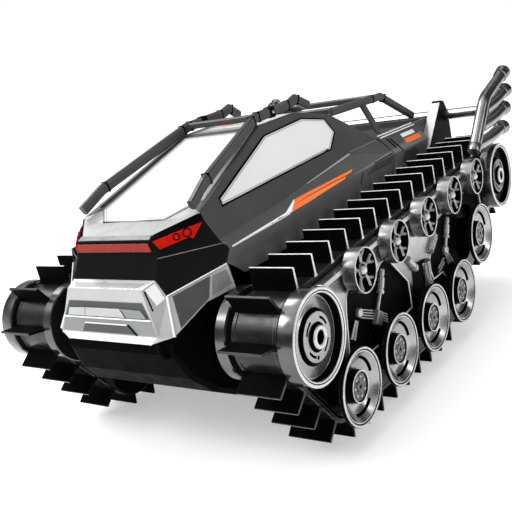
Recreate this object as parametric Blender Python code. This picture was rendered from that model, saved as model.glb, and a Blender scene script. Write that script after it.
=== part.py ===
"""Radio-controlled tracked buggy: a tub chassis between two rubber tracks, with a cab body on top.

World frame: +Z up, the nose faces -Y, +X is the vehicle's left side, and the origin lies on the
ground under the middle of the bounding box. Sizes are in millimetres until solid() scales them.
"""
import math

import bmesh
import bpy
import numpy as np
from mathutils import Vector

MM = 0.001
GAP = 0.3
SIDES = (("left", 1), ("right", -1))

# Tracks. X sizes are distances from the middle plane.
WHEEL_OUT = 100.0
RIM_IN = 91.2
CHANNEL_IN = 63.2
WHEEL_IN = 57.0
ROLLER_IN = 62.0
BELT_IN = 65.0
BELT_OUT = 89.5
BELT_THICK = 1.8
DRUM_GAP = 0.4
PADDLE_TALL = 11.2
PADDLE_THICK = 1.8
PADDLE_COUNT = 41
PADDLE_PHASE = 16.0
BORE = 2.6
AXLE = 2.0
WHEEL_SIDES = 20
ROLLER_SIDES = 12

# Wheel centres (y, z), rim radius and the radius at which the belt runs.
ROAD_Z = 32.2
DRIVE = (-128.8, 70.3, 22.8, 18.2)
IDLER = (129.4, 86.0, 22.4, 17.8)
ROAD_PITCH = 46.4
ROAD_FIRST_Y = -99.7
ROAD_RIM = 19.9
ROAD_RIDE = 19.2
FIRST_ROAD_RIDE = 16.4
LIFTED_ROAD = (81.0, 57.6, ROAD_RIM, ROAD_RIDE)
ROLLER_FIRST = (-78.0, 84.8)
ROLLER_STEP = (40.8, 2.6)
ROLLER_RIM = 11.7
ROLLER_RIDE = 7.8

# Frames, skirts and tub.
FRAME_IN = 50.8
FRAME_OUT = 54.8
SKIRT_IN = 84.8
SKIRT_OUT = 88.4
TUB_HALF = 50.0
TUB_WALL = 2.2
TUB_FLOOR = 34.0
TUB_TOP = 94.0
SHELL_THICK = 1.6

# Gears between each motor and its drive wheel.
GEAR_MODULE = 0.8
GEAR_TEETH = 32
PINION_TEETH = 12
GEAR_X = (35.6, 39.2)
SHAFT_R = 2.0
MOTOR_R = 10.0
PINION_TURN = math.radians(-20.0)

# Belly door (low x, high x, low y, high y) and the power switch (x, y) in its off position.
DOOR = (-15.0, 15.0, -10.0, 52.0)
DOOR_GAP = 0.4
DOOR_THICK = 2.0
SWITCH = (26.0, 63.5)
SWITCH_TRAVEL = 5.0

# Load bed, fins, spoiler bar and cage bars.
BED_FRONT = 52.2
FLARE_REAR = 107.0
BED_REAR = 132.0
DECK_REAR = 157.0
SPOILER = (150.0, 130.0, 3.8)
CAGE_WIDE = 4.0

# Exhausts: pipe radii, then (y, z) of each mouth and of the point where its branch starts.
EXHAUST_X = 98.0
EXHAUST_R = 3.5
BRANCH_R = 3.1
MOUTHS = [(145.5, 116.8), (152.5, 129.4), (158.1, 141.0), (158.1, 153.4)]
BRANCHES = [(90.5, 114.0), (102.0, 124.6), (112.0, 134.2), (116.5, 141.4)]


def clear_scene():
    for item in list(bpy.data.objects):
        bpy.data.objects.remove(item, do_unlink=True)


def finish(name, colour, roughness, metallic=0.0):
    """Return a Principled material of one colour."""
    material = bpy.data.materials.new(name)
    material.use_nodes = True
    shader = material.node_tree.nodes["Principled BSDF"]
    shader.inputs["Base Color"].default_value = (*colour, 1.0)
    shader.inputs["Roughness"].default_value = roughness
    shader.inputs["Metallic"].default_value = metallic
    material.diffuse_color = (*colour, 1.0)
    return material


def solid(name, bm, look, pivot=(0.0, 0.0, 0.0)):
    """Turn a bmesh in millimetres into a named object whose origin is the pivot."""
    bmesh.ops.remove_doubles(bm, verts=bm.verts, dist=0.001)
    bmesh.ops.recalc_face_normals(bm, faces=bm.faces)
    bmesh.ops.translate(bm, verts=bm.verts, vec=-Vector(pivot))
    bmesh.ops.scale(bm, verts=bm.verts, vec=(MM, MM, MM))
    mesh = bpy.data.meshes.new(name)
    bm.to_mesh(mesh)
    bm.free()
    mesh.shade_smooth()
    mesh.set_sharp_from_angle(angle=math.radians(34.0))
    item = bpy.data.objects.new(name, mesh)
    item.location = Vector(pivot) * MM
    bpy.context.scene.collection.objects.link(item)
    if look:
        mesh.materials.append(finish(name, *look))
    return item


def combine(target, bm, operation):
    """Join or cut the target with a helper mesh, which stays in the scene as a guide."""
    helper = solid(f"{operation.lower()}_{target.name}_{len(target.modifiers)}", bm, None)
    helper.hide_render = True
    helper.display_type = "WIRE"
    step = target.modifiers.new(operation.title(), "BOOLEAN")
    step.operation = operation
    step.solver = "EXACT"
    step.object = helper


def add_turned(bm, profile, steps, y, z):
    """Spin a closed (x, radius) outline about the X axis through y, z."""
    rings = []
    for x, radius in profile:
        turns = [2.0 * math.pi * k / steps for k in range(steps)]
        rings.append([bm.verts.new((x, y + radius * math.cos(t), z + radius * math.sin(t))) for t in turns])
    for i, ring in enumerate(rings):
        after = rings[(i + 1) % len(rings)]
        for k in range(steps):
            j = (k + 1) % steps
            bm.faces.new((ring[k], ring[j], after[j], after[k]))


def add_rod(bm, x0, x1, y, z, radius, steps=12):
    """Add a closed cylinder along X."""
    ends = []
    for x in (x0, x1):
        turns = [2.0 * math.pi * k / steps for k in range(steps)]
        ends.append([bm.verts.new((x, y + radius * math.cos(t), z + radius * math.sin(t))) for t in turns])
    for k in range(steps):
        j = (k + 1) % steps
        bm.faces.new((ends[0][k], ends[0][j], ends[1][j], ends[1][k]))
    for end in ends:
        bm.faces.new(end)


def add_prism(bm, loops, low, high, axis=0):
    """Extrude flat closed loops (an outline and its holes) from low to high along an axis."""
    edges = []
    for loop in loops:
        points = [list(p) for p in loop]
        for p in points:
            p.insert(axis, low)
        verts = [bm.verts.new(p) for p in points]
        edges += [bm.edges.new((v, verts[(k + 1) % len(verts)])) for k, v in enumerate(verts)]
    filled = bmesh.ops.triangle_fill(bm, use_beauty=True, edges=edges)
    faces = [g for g in filled["geom"] if isinstance(g, bmesh.types.BMFace)]
    grown = bmesh.ops.extrude_face_region(bm, geom=faces, use_keep_orig=True)
    moved = [g for g in grown["geom"] if isinstance(g, bmesh.types.BMVert)]
    shift = [0.0, 0.0, 0.0]
    shift[axis] = high - low
    bmesh.ops.translate(bm, verts=moved, vec=shift)


def add_box(bm, low, high):
    outline = [(low[1], low[2]), (high[1], low[2]), (high[1], high[2]), (low[1], high[2])]
    add_prism(bm, [outline], low[0], high[0])


def add_bar(bm, points, section):
    """Sweep a flat section (list of sideways, upward offsets) along a bent line with mitred corners."""
    path = [Vector(p) for p in points]
    runs = [(b - a).normalized() for a, b in zip(path, path[1:])]
    rings = []
    for i, point in enumerate(path):
        before = runs[max(i - 1, 0)]
        after = runs[min(i, len(runs) - 1)]
        mitre = (before + after).normalized()
        side = Vector((0.0, 0.0, 1.0)).cross(before)
        side = (side if side.length > 0.01 else Vector((1.0, 0.0, 0.0))).normalized()
        up = before.cross(side).normalized()
        ring = []
        for across, rise in section:
            offset = side * across + up * rise
            offset -= before * (offset.dot(mitre) / before.dot(mitre))
            ring.append(bm.verts.new(point + offset))
        rings.append(ring)
    for ring, after in zip(rings, rings[1:]):
        for k in range(len(section)):
            j = (k + 1) % len(section)
            bm.faces.new((ring[k], ring[j], after[j], after[k]))
    bm.faces.new(rings[0])
    bm.faces.new(rings[-1])


def flat_section(wide, tall, chamfer):
    w, h, c = wide / 2.0, tall / 2.0, chamfer
    return [(-w, c - h), (c - w, -h), (w - c, -h), (w, c - h), (w, h - c), (w - c, h), (c - w, h), (-w, h - c)]


def round_section(radius, sides):
    turns = [2.0 * math.pi * (k + 0.5) / sides for k in range(sides)]
    return [(radius * math.cos(t), radius * math.sin(t)) for t in turns]


# ---------------------------------------------------------------- tracks


def wheel_table():
    """Every wheel of one side as (name, y, z, rim, ride), in the order in which the belt meets it."""
    rollers = []
    for k in range(5):
        y = ROLLER_FIRST[0] + k * ROLLER_STEP[0]
        z = ROLLER_FIRST[1] + k * ROLLER_STEP[1]
        rollers.append((f"return_roller_{k + 1}", y, z, ROLLER_RIM, ROLLER_RIDE))
    roads = []
    for k in range(4):
        ride = ROAD_RIDE if k else FIRST_ROAD_RIDE
        roads.append((f"road_wheel_{k + 1}", ROAD_FIRST_Y + k * ROAD_PITCH, ROAD_Z, ROAD_RIM, ride))
    lower = [("road_wheel_5", *LIFTED_ROAD)] + roads[::-1]
    return [("drive_wheel", *DRIVE)] + rollers + [("idler_wheel", *IDLER)] + lower


def loop_path(offset, step=12.0):
    """Points and outward normals of the belt line, pushed out by an offset, as (y, z, ny, nz)."""
    wheels = [(y, z, ride + offset) for _, y, z, _, ride in wheel_table()]
    angles = []
    for (y1, z1, r1), (y2, z2, r2) in zip(wheels, wheels[1:] + wheels[:1]):
        length = math.hypot(y2 - y1, z2 - z1)
        lean = math.asin((r1 - r2) / length)
        angles.append(math.atan2(z2 - z1, y2 - y1) + math.pi / 2.0 - lean)
    points = []
    for k, (y, z, radius) in enumerate(wheels):
        start = angles[k - 1]
        turn = (start - angles[k]) % (2.0 * math.pi)
        turn = 0.0 if turn > math.pi * 1.5 else turn
        count = max(1, math.ceil(math.degrees(turn) / step - 1e-6))
        for i in range(count + 1 if turn > 1e-6 else 1):
            a = start - turn * i / count
            normal = (math.cos(a), math.sin(a))
            points.append((y + radius * normal[0], z + radius * normal[1], *normal))
    return points


def belt_outline():
    """Outer edge of the belt with a square paddle at each pitch."""
    path = loop_path(BELT_THICK)
    closed = path + path[:1]
    lengths = [math.hypot(b[0] - a[0], b[1] - a[1]) for a, b in zip(closed, closed[1:])]
    starts = [sum(lengths[:k]) for k in range(len(path))]
    total = sum(lengths)
    pitch = total / PADDLE_COUNT
    half = PADDLE_THICK / 2.0
    stations = []
    for at, point in zip(starts, path):
        nearest = (at - PADDLE_PHASE + pitch / 2.0) % pitch - pitch / 2.0
        if abs(nearest) > half + 0.6:
            stations.append((at, [(point[0], point[1])]))
    for k in range(PADDLE_COUNT):
        at = (PADDLE_PHASE + k * pitch) % total
        index = max(i for i, s in enumerate(starts) if s <= at)
        share = (at - starts[index]) / lengths[index]
        a, b = np.array(closed[index]), np.array(closed[index + 1])
        y, z, ny, nz = a + (b - a) * share
        size = math.hypot(ny, nz)
        ny, nz = ny / size, nz / size
        corners = [(-half, -0.05), (-half, PADDLE_TALL), (half, PADDLE_TALL), (half, -0.05)]
        stations.append((at, [(y + along * nz + up * ny, z - along * ny + up * nz) for along, up in corners]))
    return [p for _, points in sorted(stations, key=lambda s: s[0]) for p in points]


def build_belt(label, side):
    bm = bmesh.new()
    inner = [(y, z) for y, z, _, _ in loop_path(0.0)]
    add_prism(bm, [belt_outline(), inner], side * BELT_IN, side * BELT_OUT)
    solid(f"track_belt_{label}", bm, ((0.02, 0.02, 0.02), 0.7))


def channel_profile(rim, drum, bore):
    """Section of a wheel with an inner flange, a belt channel and a dished outer disc."""
    return [
        (WHEEL_IN, bore), (WHEEL_IN, rim), (CHANNEL_IN, rim), (CHANNEL_IN, drum), (RIM_IN, drum),
        (RIM_IN, rim), (WHEEL_OUT, rim), (WHEEL_OUT - 0.4, rim * 0.86), (WHEEL_OUT - 5.5, rim * 0.55),
        (WHEEL_OUT - 2.5, rim * 0.5), (WHEEL_OUT - 2.5, bore),
    ]


def roller_profile(rim, drum, bore):
    return [
        (ROLLER_IN, bore), (ROLLER_IN, drum), (RIM_IN, drum), (RIM_IN, rim), (WHEEL_OUT - 1.0, rim),
        (WHEEL_OUT - 1.0, rim - 2.0), (WHEEL_OUT - 4.0, rim - 3.0), (WHEEL_OUT - 4.0, bore),
    ]


def build_wheels(label, side):
    for name, y, z, rim, ride in wheel_table():
        is_roller = name.startswith("return")
        make = roller_profile if is_roller else channel_profile
        bore = SHAFT_R + 0.5 if name == "drive_wheel" else BORE
        profile = [(side * x, radius) for x, radius in make(rim, ride - DRUM_GAP, bore)]
        bm = bmesh.new()
        add_turned(bm, profile, ROLLER_SIDES if is_roller else WHEEL_SIDES, y, z)
        solid(f"{name}_{label}", bm, ((0.35, 0.36, 0.36), 0.35, 0.8), (side * WHEEL_OUT, y, z))


def build_track_frame(label, side):
    """Side plate with a stub axle for each free wheel, a bearing hole for the drive shaft and posts."""
    inset = [(y, z) for y, z, _, _ in loop_path(-7.0, 20.0)]
    bm = bmesh.new()
    add_prism(bm, [inset], side * FRAME_IN, side * FRAME_OUT)
    plate = solid(f"track_frame_{label}", bm, ((0.03, 0.03, 0.03), 0.45))
    pins = bmesh.new()
    for name, y, z, _, _ in wheel_table():
        if name != "drive_wheel":
            add_rod(pins, side * (FRAME_OUT - 1.0), side * 95.0, y, z, AXLE, 8)
    for y, z in skirt_posts():
        add_rod(pins, side * (FRAME_OUT - 1.0), side * (SKIRT_IN - GAP), y, z, 2.4, 8)
    combine(plate, pins, "UNION")
    hole = bmesh.new()
    add_rod(hole, side * (FRAME_IN - 1.0), side * (FRAME_OUT + 1.0), DRIVE[0], DRIVE[1], SHAFT_R + 0.6, 16)
    combine(plate, hole, "DIFFERENCE")


def skirt_posts():
    return [(-98.0, 70.0), (-57.0, 64.0), (-16.0, 66.0), (25.0, 69.0), (62.0, 78.0), (104.0, 84.0)]


def build_skirt(label, side):
    """Cover plate inside the belt loop, cut away round every wheel drum."""
    inset = [(y, z) for y, z, _, _ in loop_path(-1.6, 20.0)]
    bm = bmesh.new()
    add_prism(bm, [inset], side * SKIRT_IN, side * SKIRT_OUT)
    plate = solid(f"side_skirt_{label}", bm, ((0.05, 0.05, 0.05), 0.35))
    holes = bmesh.new()
    for _, y, z, _, ride in wheel_table():
        add_rod(holes, side * (SKIRT_IN - 1.0), side * (SKIRT_OUT + 1.0), y, z, ride + 0.8, 20)
    combine(plate, holes, "DIFFERENCE")


# ---------------------------------------------------------------- chassis tub and drive


def tub_stations():
    """Sections of the tub as (y, bottom, top, half width, corner cut)."""
    return [
        (-157.0, 68.0, 74.5, 36.0, 2.0), (-151.0, 54.0, 80.0, 39.6, 2.5), (-141.0, 43.0, 86.2, 44.6, 3.0),
        (-129.0, 36.0, 90.4, 48.0, 3.0), (-117.0, TUB_FLOOR, TUB_TOP, TUB_HALF, 3.0),
        (112.0, TUB_FLOOR, TUB_TOP, TUB_HALF, 3.0), (132.0, 42.0, TUB_TOP, TUB_HALF, 5.0),
        (147.0, 58.0, TUB_TOP, TUB_HALF, 6.0), (152.0, 72.0, TUB_TOP, TUB_HALF, 4.0),
    ]


def add_tub(bm, wall, rise):
    """Loft the tub sections, shrunk by a wall and raised at the top."""
    rings = []
    stations = tub_stations()
    for k, (y, low, high, half, cut) in enumerate(stations):
        shift = wall if k == 0 else -wall if k == len(stations) - 1 else 0.0
        w, b, t = half - wall, low + wall * 1.3, high + rise
        outline = [(-w, t), (-w, b + cut), (cut - w, b), (w - cut, b), (w, b + cut), (w, t)]
        rings.append([bm.verts.new((x, y + shift, z)) for x, z in outline])
    for ring, after in zip(rings, rings[1:]):
        for k in range(6):
            j = (k + 1) % 6
            bm.faces.new((ring[k], ring[j], after[j], after[k]))
    bm.faces.new(rings[0])
    bm.faces.new(rings[-1])


def build_tub():
    bm = bmesh.new()
    add_tub(bm, 0.0, 0.0)
    tub = solid("lower_hull", bm, ((0.02, 0.02, 0.02), 0.5))
    space = bmesh.new()
    add_tub(space, TUB_WALL, 3.0)
    combine(tub, space, "DIFFERENCE")
    holes = bmesh.new()
    add_rod(holes, -60.0, 60.0, DRIVE[0], DRIVE[1], SHAFT_R + 0.6, 16)
    x0, x1, y0, y1 = DOOR
    add_box(holes, (x0, y0, 30.0), (x1, y1, 40.0))
    x, y = SWITCH
    add_box(holes, (x - 2.3, y - 2.3, 30.0), (x + 2.3, y + SWITCH_TRAVEL + 2.3, 40.0))
    combine(tub, holes, "DIFFERENCE")


def build_battery_bay():
    """Hinged belly door, battery above it and the slide switch beside it."""
    x0, x1, y0, y1 = DOOR
    low = (x0 + DOOR_GAP, y0 + DOOR_GAP, TUB_FLOOR)
    bm = bmesh.new()
    add_box(bm, low, (x1 - DOOR_GAP, y1 - DOOR_GAP, TUB_FLOOR + DOOR_THICK))
    solid("battery_door", bm, ((0.03, 0.03, 0.03), 0.5), (low[0], (y0 + y1) / 2.0, TUB_FLOOR))
    bm = bmesh.new()
    add_box(bm, (-17.5, -16.0, TUB_FLOOR + 4.0), (17.5, 58.0, TUB_FLOOR + 23.0))
    solid("battery_pack", bm, ((0.1, 0.2, 0.5), 0.5))
    bm = bmesh.new()
    x, y = SWITCH
    add_box(bm, (x - 1.9, y - 1.8, TUB_FLOOR - 0.6), (x + 1.9, y + 1.8, TUB_FLOOR + 3.3))
    knob = solid("power_switch", bm, ((0.6, 0.1, 0.05), 0.5), (x, y, TUB_FLOOR))
    body = bmesh.new()
    add_box(body, (x - 4.5, y - 3.5, TUB_FLOOR + 3.1), (x + 4.5, y + 3.5, TUB_FLOOR + 7.0))
    combine(knob, body, "UNION")


def gear_outline(teeth, y, z, phase):
    """Simple trapezoid teeth about a pitch circle."""
    pitch_r = GEAR_MODULE * teeth / 2.0
    outline = []
    for k in range(teeth):
        for share, reach in ((-0.30, -1.15), (-0.14, 0.85), (0.14, 0.85), (0.30, -1.15)):
            a = 2.0 * math.pi * (k + share) / teeth + phase
            r = pitch_r + reach * GEAR_MODULE
            outline.append((y + r * math.cos(a), z + r * math.sin(a)))
    return outline


def circle(y, z, radius, steps=12):
    turns = [2.0 * math.pi * k / steps for k in range(steps)]
    return [(y + radius * math.cos(t), z + radius * math.sin(t)) for t in turns]


def pinion_centre():
    reach = GEAR_MODULE * (GEAR_TEETH + PINION_TEETH) / 2.0 + 0.25
    return DRIVE[0] + reach * math.cos(PINION_TURN), DRIVE[1] + reach * math.sin(PINION_TURN)


def build_drive(label, side):
    """Motor with its pinion, and the big gear on the shaft that carries the drive wheel."""
    y, z = DRIVE[0], DRIVE[1]
    bm = bmesh.new()
    add_prism(bm, [gear_outline(GEAR_TEETH, y, z, PINION_TURN)], side * GEAR_X[0], side * GEAR_X[1])
    gear = solid(f"drive_gear_{label}", bm, ((0.75, 0.75, 0.7), 0.5), (side * GEAR_X[0], y, z))
    shaft = bmesh.new()
    add_rod(shaft, side * (GEAR_X[1] - 1.0), side * 96.5, y, z, SHAFT_R, 10)
    combine(gear, shaft, "UNION")
    py, pz = pinion_centre()
    half_tooth = math.pi / PINION_TEETH
    bm = bmesh.new()
    outline = gear_outline(PINION_TEETH, py, pz, PINION_TURN + math.pi + half_tooth)
    add_prism(bm, [outline, circle(py, pz, 1.3, 8)], side * GEAR_X[0], side * GEAR_X[1])
    solid(f"motor_pinion_{label}", bm, ((0.7, 0.6, 0.3), 0.4, 1.0), (side * GEAR_X[0], py, pz))
    bm = bmesh.new()
    inner = GEAR_X[0] - 1.5
    profile = [(inner - 27.0, 0.0), (inner - 27.0, 8.6), (inner - 26.0, MOTOR_R), (inner, MOTOR_R)]
    profile += [(inner, 1.0), (GEAR_X[1] - 0.5, 1.0), (GEAR_X[1] - 0.5, 0.0)]
    add_spindle(bm, [(side * x, r) for x, r in profile], 16, py, pz)
    solid(f"drive_motor_{label}", bm, ((0.6, 0.6, 0.62), 0.3, 1.0))


def add_spindle(bm, profile, steps, y, z):
    """Spin an open outline that starts and ends on the axis, and close its two ends."""
    rings = []
    for x, radius in profile[1:-1]:
        turns = [2.0 * math.pi * k / steps for k in range(steps)]
        rings.append([bm.verts.new((x, y + radius * math.cos(t), z + radius * math.sin(t))) for t in turns])
    for ring, after in zip(rings, rings[1:]):
        for k in range(steps):
            j = (k + 1) % steps
            bm.faces.new((ring[k], ring[j], after[j], after[k]))
    bm.faces.new(rings[0])
    bm.faces.new(rings[-1])


def build_circuit_board():
    bm = bmesh.new()
    add_box(bm, (-28.0, -92.0, 62.0), (28.0, -40.0, 63.6))
    board = solid("circuit_board", bm, ((0.02, 0.2, 0.08), 0.5))
    posts = bmesh.new()
    for x in (-24.0, 24.0):
        for y in (-88.0, -44.0):
            add_box(posts, (x - 2.0, y - 2.0, TUB_FLOOR + 3.3), (x + 2.0, y + 2.0, 62.8))
    combine(board, posts, "UNION")


# ---------------------------------------------------------------- cab body


def on_screen(x, y):
    """Point on the sloping windscreen plane."""
    return (x, y, 128.5 + 0.3846 * (y + 124.0))


def on_side(y, z):
    """Point on the flat upper side of the cab."""
    return (115.9 + 0.0481 * y - 0.5366 * z, y, z)


def body_points():
    """Named corners of the body's left half."""
    return {
        "brow": (24.5, -142.4, 122.7), "brow_low": (25.1, -145.3, 121.0), "crease": (27.9, -145.6, 112.4),
        "chin": (28.4, -150.5, 103.2), "chin_side": (33.5, -150.3, 95.3), "corner": (41.0, -124.0, 128.5),
        "lamp_end": (42.4, -124.4, 124.8), "crease_end": on_side(-123.6, 114.8),
        "cheek": (56.0, -126.0, 111.5), "jowl": (54.0, -127.8, 104.2),
        "nose_top": (25.5, -158.0, 101.0), "lip_top": (33.5, -161.7, 78.5), "lip": (27.6, -162.3, 75.2),
        "nose_corner": (39.5, -157.0, 78.0), "wing_low": (48.0, -139.5, 89.3), "wing_end": (56.0, -126.7, 92.0),
        "kink": on_screen(21.4, -129.1), "glass_low": on_screen(31.5, -118.0),
        "glass_high": on_screen(22.5, -52.0), "roof_front": (29.1, -48.6, 157.5),
        "roof_mid": on_side(-9.0, 159.3), "roof_rear": on_side(19.0, 153.2), "cab_rear": on_side(50.5, 131.1),
        "panel_front": (24.0, -45.5, 157.64), "panel_mid": (25.5, -9.0, 159.3),
        "panel_rear": (29.5, 15.0, 154.07), "belt_mid": on_side(-62.5, 119.6),
        "belt_rear": on_side(13.0, 128.2), "waist_1": (58.0, -76.0, 114.6), "waist_2": (59.5, -15.0, 118.4),
        "waist_3": (59.5, 51.0, 120.3), "tuck_1": (54.0, -98.0, 103.8), "tuck_2": (57.3, -3.0, 112.8),
        "tuck_3": (57.3, 51.0, 113.2), "sill_0": (53.6, -115.0, 95.4), "sill_1": (53.6, -98.0, 95.4),
        "sill_2": (53.9, -3.0, 98.0), "sill_3": (53.9, 51.0, 98.0),
        "win_0": on_side(-107.9, 131.2), "win_1": on_side(-108.9, 127.4), "win_2": on_side(-4.2, 136.3),
        "win_3": on_side(-0.5, 134.3), "win_4": on_side(13.2, 142.4), "win_5": on_side(11.5, 151.6),
        "win_6": on_side(-9.2, 155.6), "win_7": on_side(-49.0, 152.6),
    }


def body_panels():
    """Corner names of each panel's faces. A name with a star is its mirror image."""
    return {
        "front_mask": [
            "brow* brow brow_low brow_low*", "brow_low* brow_low crease crease*", "crease* crease chin chin*",
            "brow corner lamp_end brow_low", "brow_low lamp_end crease_end crease",
            "crease crease_end jowl chin_side chin", "crease_end cheek jowl",
        ],
        "nose_plate": [
            "chin* chin nose_top nose_top*", "nose_top* nose_top lip_top lip_top*", "lip_top* lip_top lip lip*",
            "nose_top chin chin_side nose_corner lip_top", "lip_top nose_corner lip",
            "chin_side jowl wing_end wing_low nose_corner",
        ],
        "cowl": ["brow* brow kink kink*", "brow corner glass_low kink"],
        "windscreen": ["kink* kink glass_low glass_high glass_high* glass_low*"],
        "roof_panel": ["panel_front* panel_front panel_mid panel_mid*", "panel_mid* panel_mid panel_rear panel_rear*"],
        "side_window": ["win_0 win_1 win_2 win_3 win_4 win_5 win_6 win_7"],
        "cab_shell": [
            "corner roof_front glass_high glass_low", "glass_high* glass_high roof_front roof_front*",
            "roof_front* roof_front panel_front panel_front*", "roof_front roof_mid panel_mid panel_front",
            "roof_mid roof_rear panel_rear panel_mid", "panel_rear* panel_rear roof_rear roof_rear*",
            "corner lamp_end crease_end win_1 win_0", "crease_end belt_mid belt_rear win_3 win_2 win_1",
            "belt_rear cab_rear win_4 win_3", "cab_rear roof_rear win_5 win_4", "roof_rear roof_mid win_6 win_5",
            "roof_mid roof_front win_7 win_6", "roof_front corner win_0 win_7",
            "crease_end cheek waist_1 belt_mid", "belt_mid waist_1 waist_2 belt_rear",
            "belt_rear waist_2 waist_3 cab_rear", "cheek jowl tuck_1 waist_1", "waist_1 tuck_1 tuck_2 waist_2",
            "waist_2 tuck_2 tuck_3 waist_3", "jowl sill_0 sill_1 tuck_1", "tuck_1 sill_1 sill_2 tuck_2",
            "tuck_2 sill_2 sill_3 tuck_3", "roof_rear* roof_rear cab_rear cab_rear*",
            "cab_rear* cab_rear waist_3 tuck_3 sill_3 sill_3* tuck_3* waist_3*",
        ],
    }


def corner_names(face, flip=False):
    names = face.split()
    if flip:
        names = [n[:-1] if n.endswith("*") else n + "*" for n in names][::-1]
    return names


def body_corners():
    left = body_points()
    corners = {name: np.array(p) for name, p in left.items()}
    corners.update({name + "*": np.array((-p[0], p[1], p[2])) for name, p in left.items()})
    return corners


def face_normal(corners, names):
    """Area normal of a face, pointing out of the body."""
    points = [corners[n] for n in names]
    normal = sum(np.cross(a, b) for a, b in zip(points, points[1:] + points[:1]))
    normal = normal / np.linalg.norm(normal)
    middle = sum(points) / len(points)
    outward = middle - np.array((0.0, -40.0, 105.0))
    return normal if normal @ outward > 0 else -normal


def least_shift(rows, values):
    return np.linalg.lstsq(np.array(rows), np.array(values), rcond=0.08)[0]


def both_halves(faces):
    """Each face once as corner names, with its mirror image where it isn't its own."""
    names = [corner_names(f) for f in faces]
    for face in faces:
        mirrored = corner_names(face, flip=True)
        if set(mirrored) not in [set(n) for n in names]:
            names.append(mirrored)
    return names


def build_panel(name, faces, corners, inward, look):
    """Closed skin of one panel: its outer faces, the same faces moved inward, and a rim with a gap."""
    normals = [face_normal(corners, f) for f in faces]
    edges = {}
    for index, face in enumerate(faces):
        for a, b in zip(face, face[1:] + face[:1]):
            edges.setdefault(frozenset((a, b)), []).append(index)
    rows = {corner: ([], []) for face in faces for corner in face}
    for index, face in enumerate(faces):
        for corner in face:
            rows[corner][0].append(normals[index])
            rows[corner][1].append(0.0)
    for index, face in enumerate(faces):
        middle = sum(corners[c] for c in face) / len(face)
        for a, b in zip(face, face[1:] + face[:1]):
            if len(edges[frozenset((a, b))]) > 1:
                continue
            along = corners[b] - corners[a]
            across = np.cross(normals[index], along / np.linalg.norm(along))
            across *= 1.0 if across @ (middle - corners[a]) > 0 else -1.0
            for corner in (a, b):
                rows[corner][0].append(across)
                rows[corner][1].append(GAP / 2.0 + 0.05)
    bm = bmesh.new()
    outer, inner = {}, {}
    for corner, (row, value) in rows.items():
        place = corners[corner] + least_shift(row, value)
        outer[corner] = bm.verts.new(place)
        inner[corner] = bm.verts.new(place + inward[corner])
    for face in faces:
        bm.faces.new([outer[c] for c in face])
        bm.faces.new([inner[c] for c in reversed(face)])
    for pair, owners in edges.items():
        if len(owners) == 1:
            a, b = pair
            bm.faces.new((outer[a], outer[b], inner[b], inner[a]))
    bmesh.ops.triangulate(bm, faces=bm.faces)
    return solid(name, bm, look)


def build_body():
    """Cut the body surface into its moulded panels, all of one wall thickness."""
    corners = body_corners()
    panels = {name: both_halves(faces) for name, faces in body_panels().items()}
    walls = {corner: [] for corner in corners}
    for faces in panels.values():
        for face in faces:
            normal = face_normal(corners, face)
            for corner in face:
                walls[corner].append(normal)
    inward = {c: least_shift(n, [-SHELL_THICK] * len(n)) for c, n in walls.items() if n}
    looks = {
        "front_mask": ((0.03, 0.03, 0.03), 0.3), "nose_plate": ((0.7, 0.71, 0.7), 0.35, 0.3),
        "cowl": ((0.6, 0.6, 0.6), 0.4), "windscreen": ((0.9, 0.9, 0.9), 0.15),
        "roof_panel": ((0.85, 0.85, 0.85), 0.3), "cab_shell": ((0.08, 0.08, 0.08), 0.45),
    }
    for name, look in looks.items():
        build_panel(name, panels[name], corners, inward, look)
    for label, side in SIDES:
        star = "" if side > 0 else "*"
        window = [f for f in panels["side_window"] if f[0].endswith("*") == bool(star)]
        build_panel(f"side_window_{label}", window, corners, inward, ((0.85, 0.86, 0.87), 0.15))


def raised_plate(name, corners, names, outline, lift, thick, look):
    """Thin plate over a body face. Outline points run 0 to 1 along and down the face."""
    a, b, c, d = (Vector(corners[n]) for n in names)
    normal = (b - a).cross(d - a).normalized()
    if normal.y > 0:
        normal.negate()
    bm = bmesh.new()
    rings = []
    for height in (lift, lift + thick):
        ring = []
        for u, v in outline:
            point = a.lerp(b, u).lerp(d.lerp(c, u), v)
            flat = point - normal * normal.dot(point - a)
            ring.append(bm.verts.new(flat + normal * height))
        rings.append(ring)
    count = len(outline)
    for k in range(count):
        j = (k + 1) % count
        bm.faces.new((rings[0][k], rings[0][j], rings[1][j], rings[1][k]))
    bm.faces.new(rings[0])
    bm.faces.new(rings[1])
    bmesh.ops.triangulate(bm, faces=bm.faces)
    solid(name, bm, look)


def build_lamps():
    corners = body_corners()
    strip = [(0.02, 0.14), (0.98, 0.14), (0.98, 0.62), (0.02, 0.62)]
    red = (0.55, 0.03, 0.02)
    raised_plate("light_bar", corners, ("brow_low*", "brow_low", "crease", "crease*"), strip, 0.5, 0.8, (red, 0.3))
    arrow = [(0.03, 0.10), (0.52, 0.06), (0.95, 0.06), (0.66, 0.62), (0.62, 0.50), (0.09, 0.62)]
    for label, side in SIDES:
        star = "" if side > 0 else "*"
        names = [n + star for n in ("brow_low", "lamp_end", "crease_end", "crease")]
        raised_plate(f"headlight_{label}", corners, names, arrow, 0.5, 0.8, (red, 0.25))


# ---------------------------------------------------------------- cage, bed and rear fittings


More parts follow.
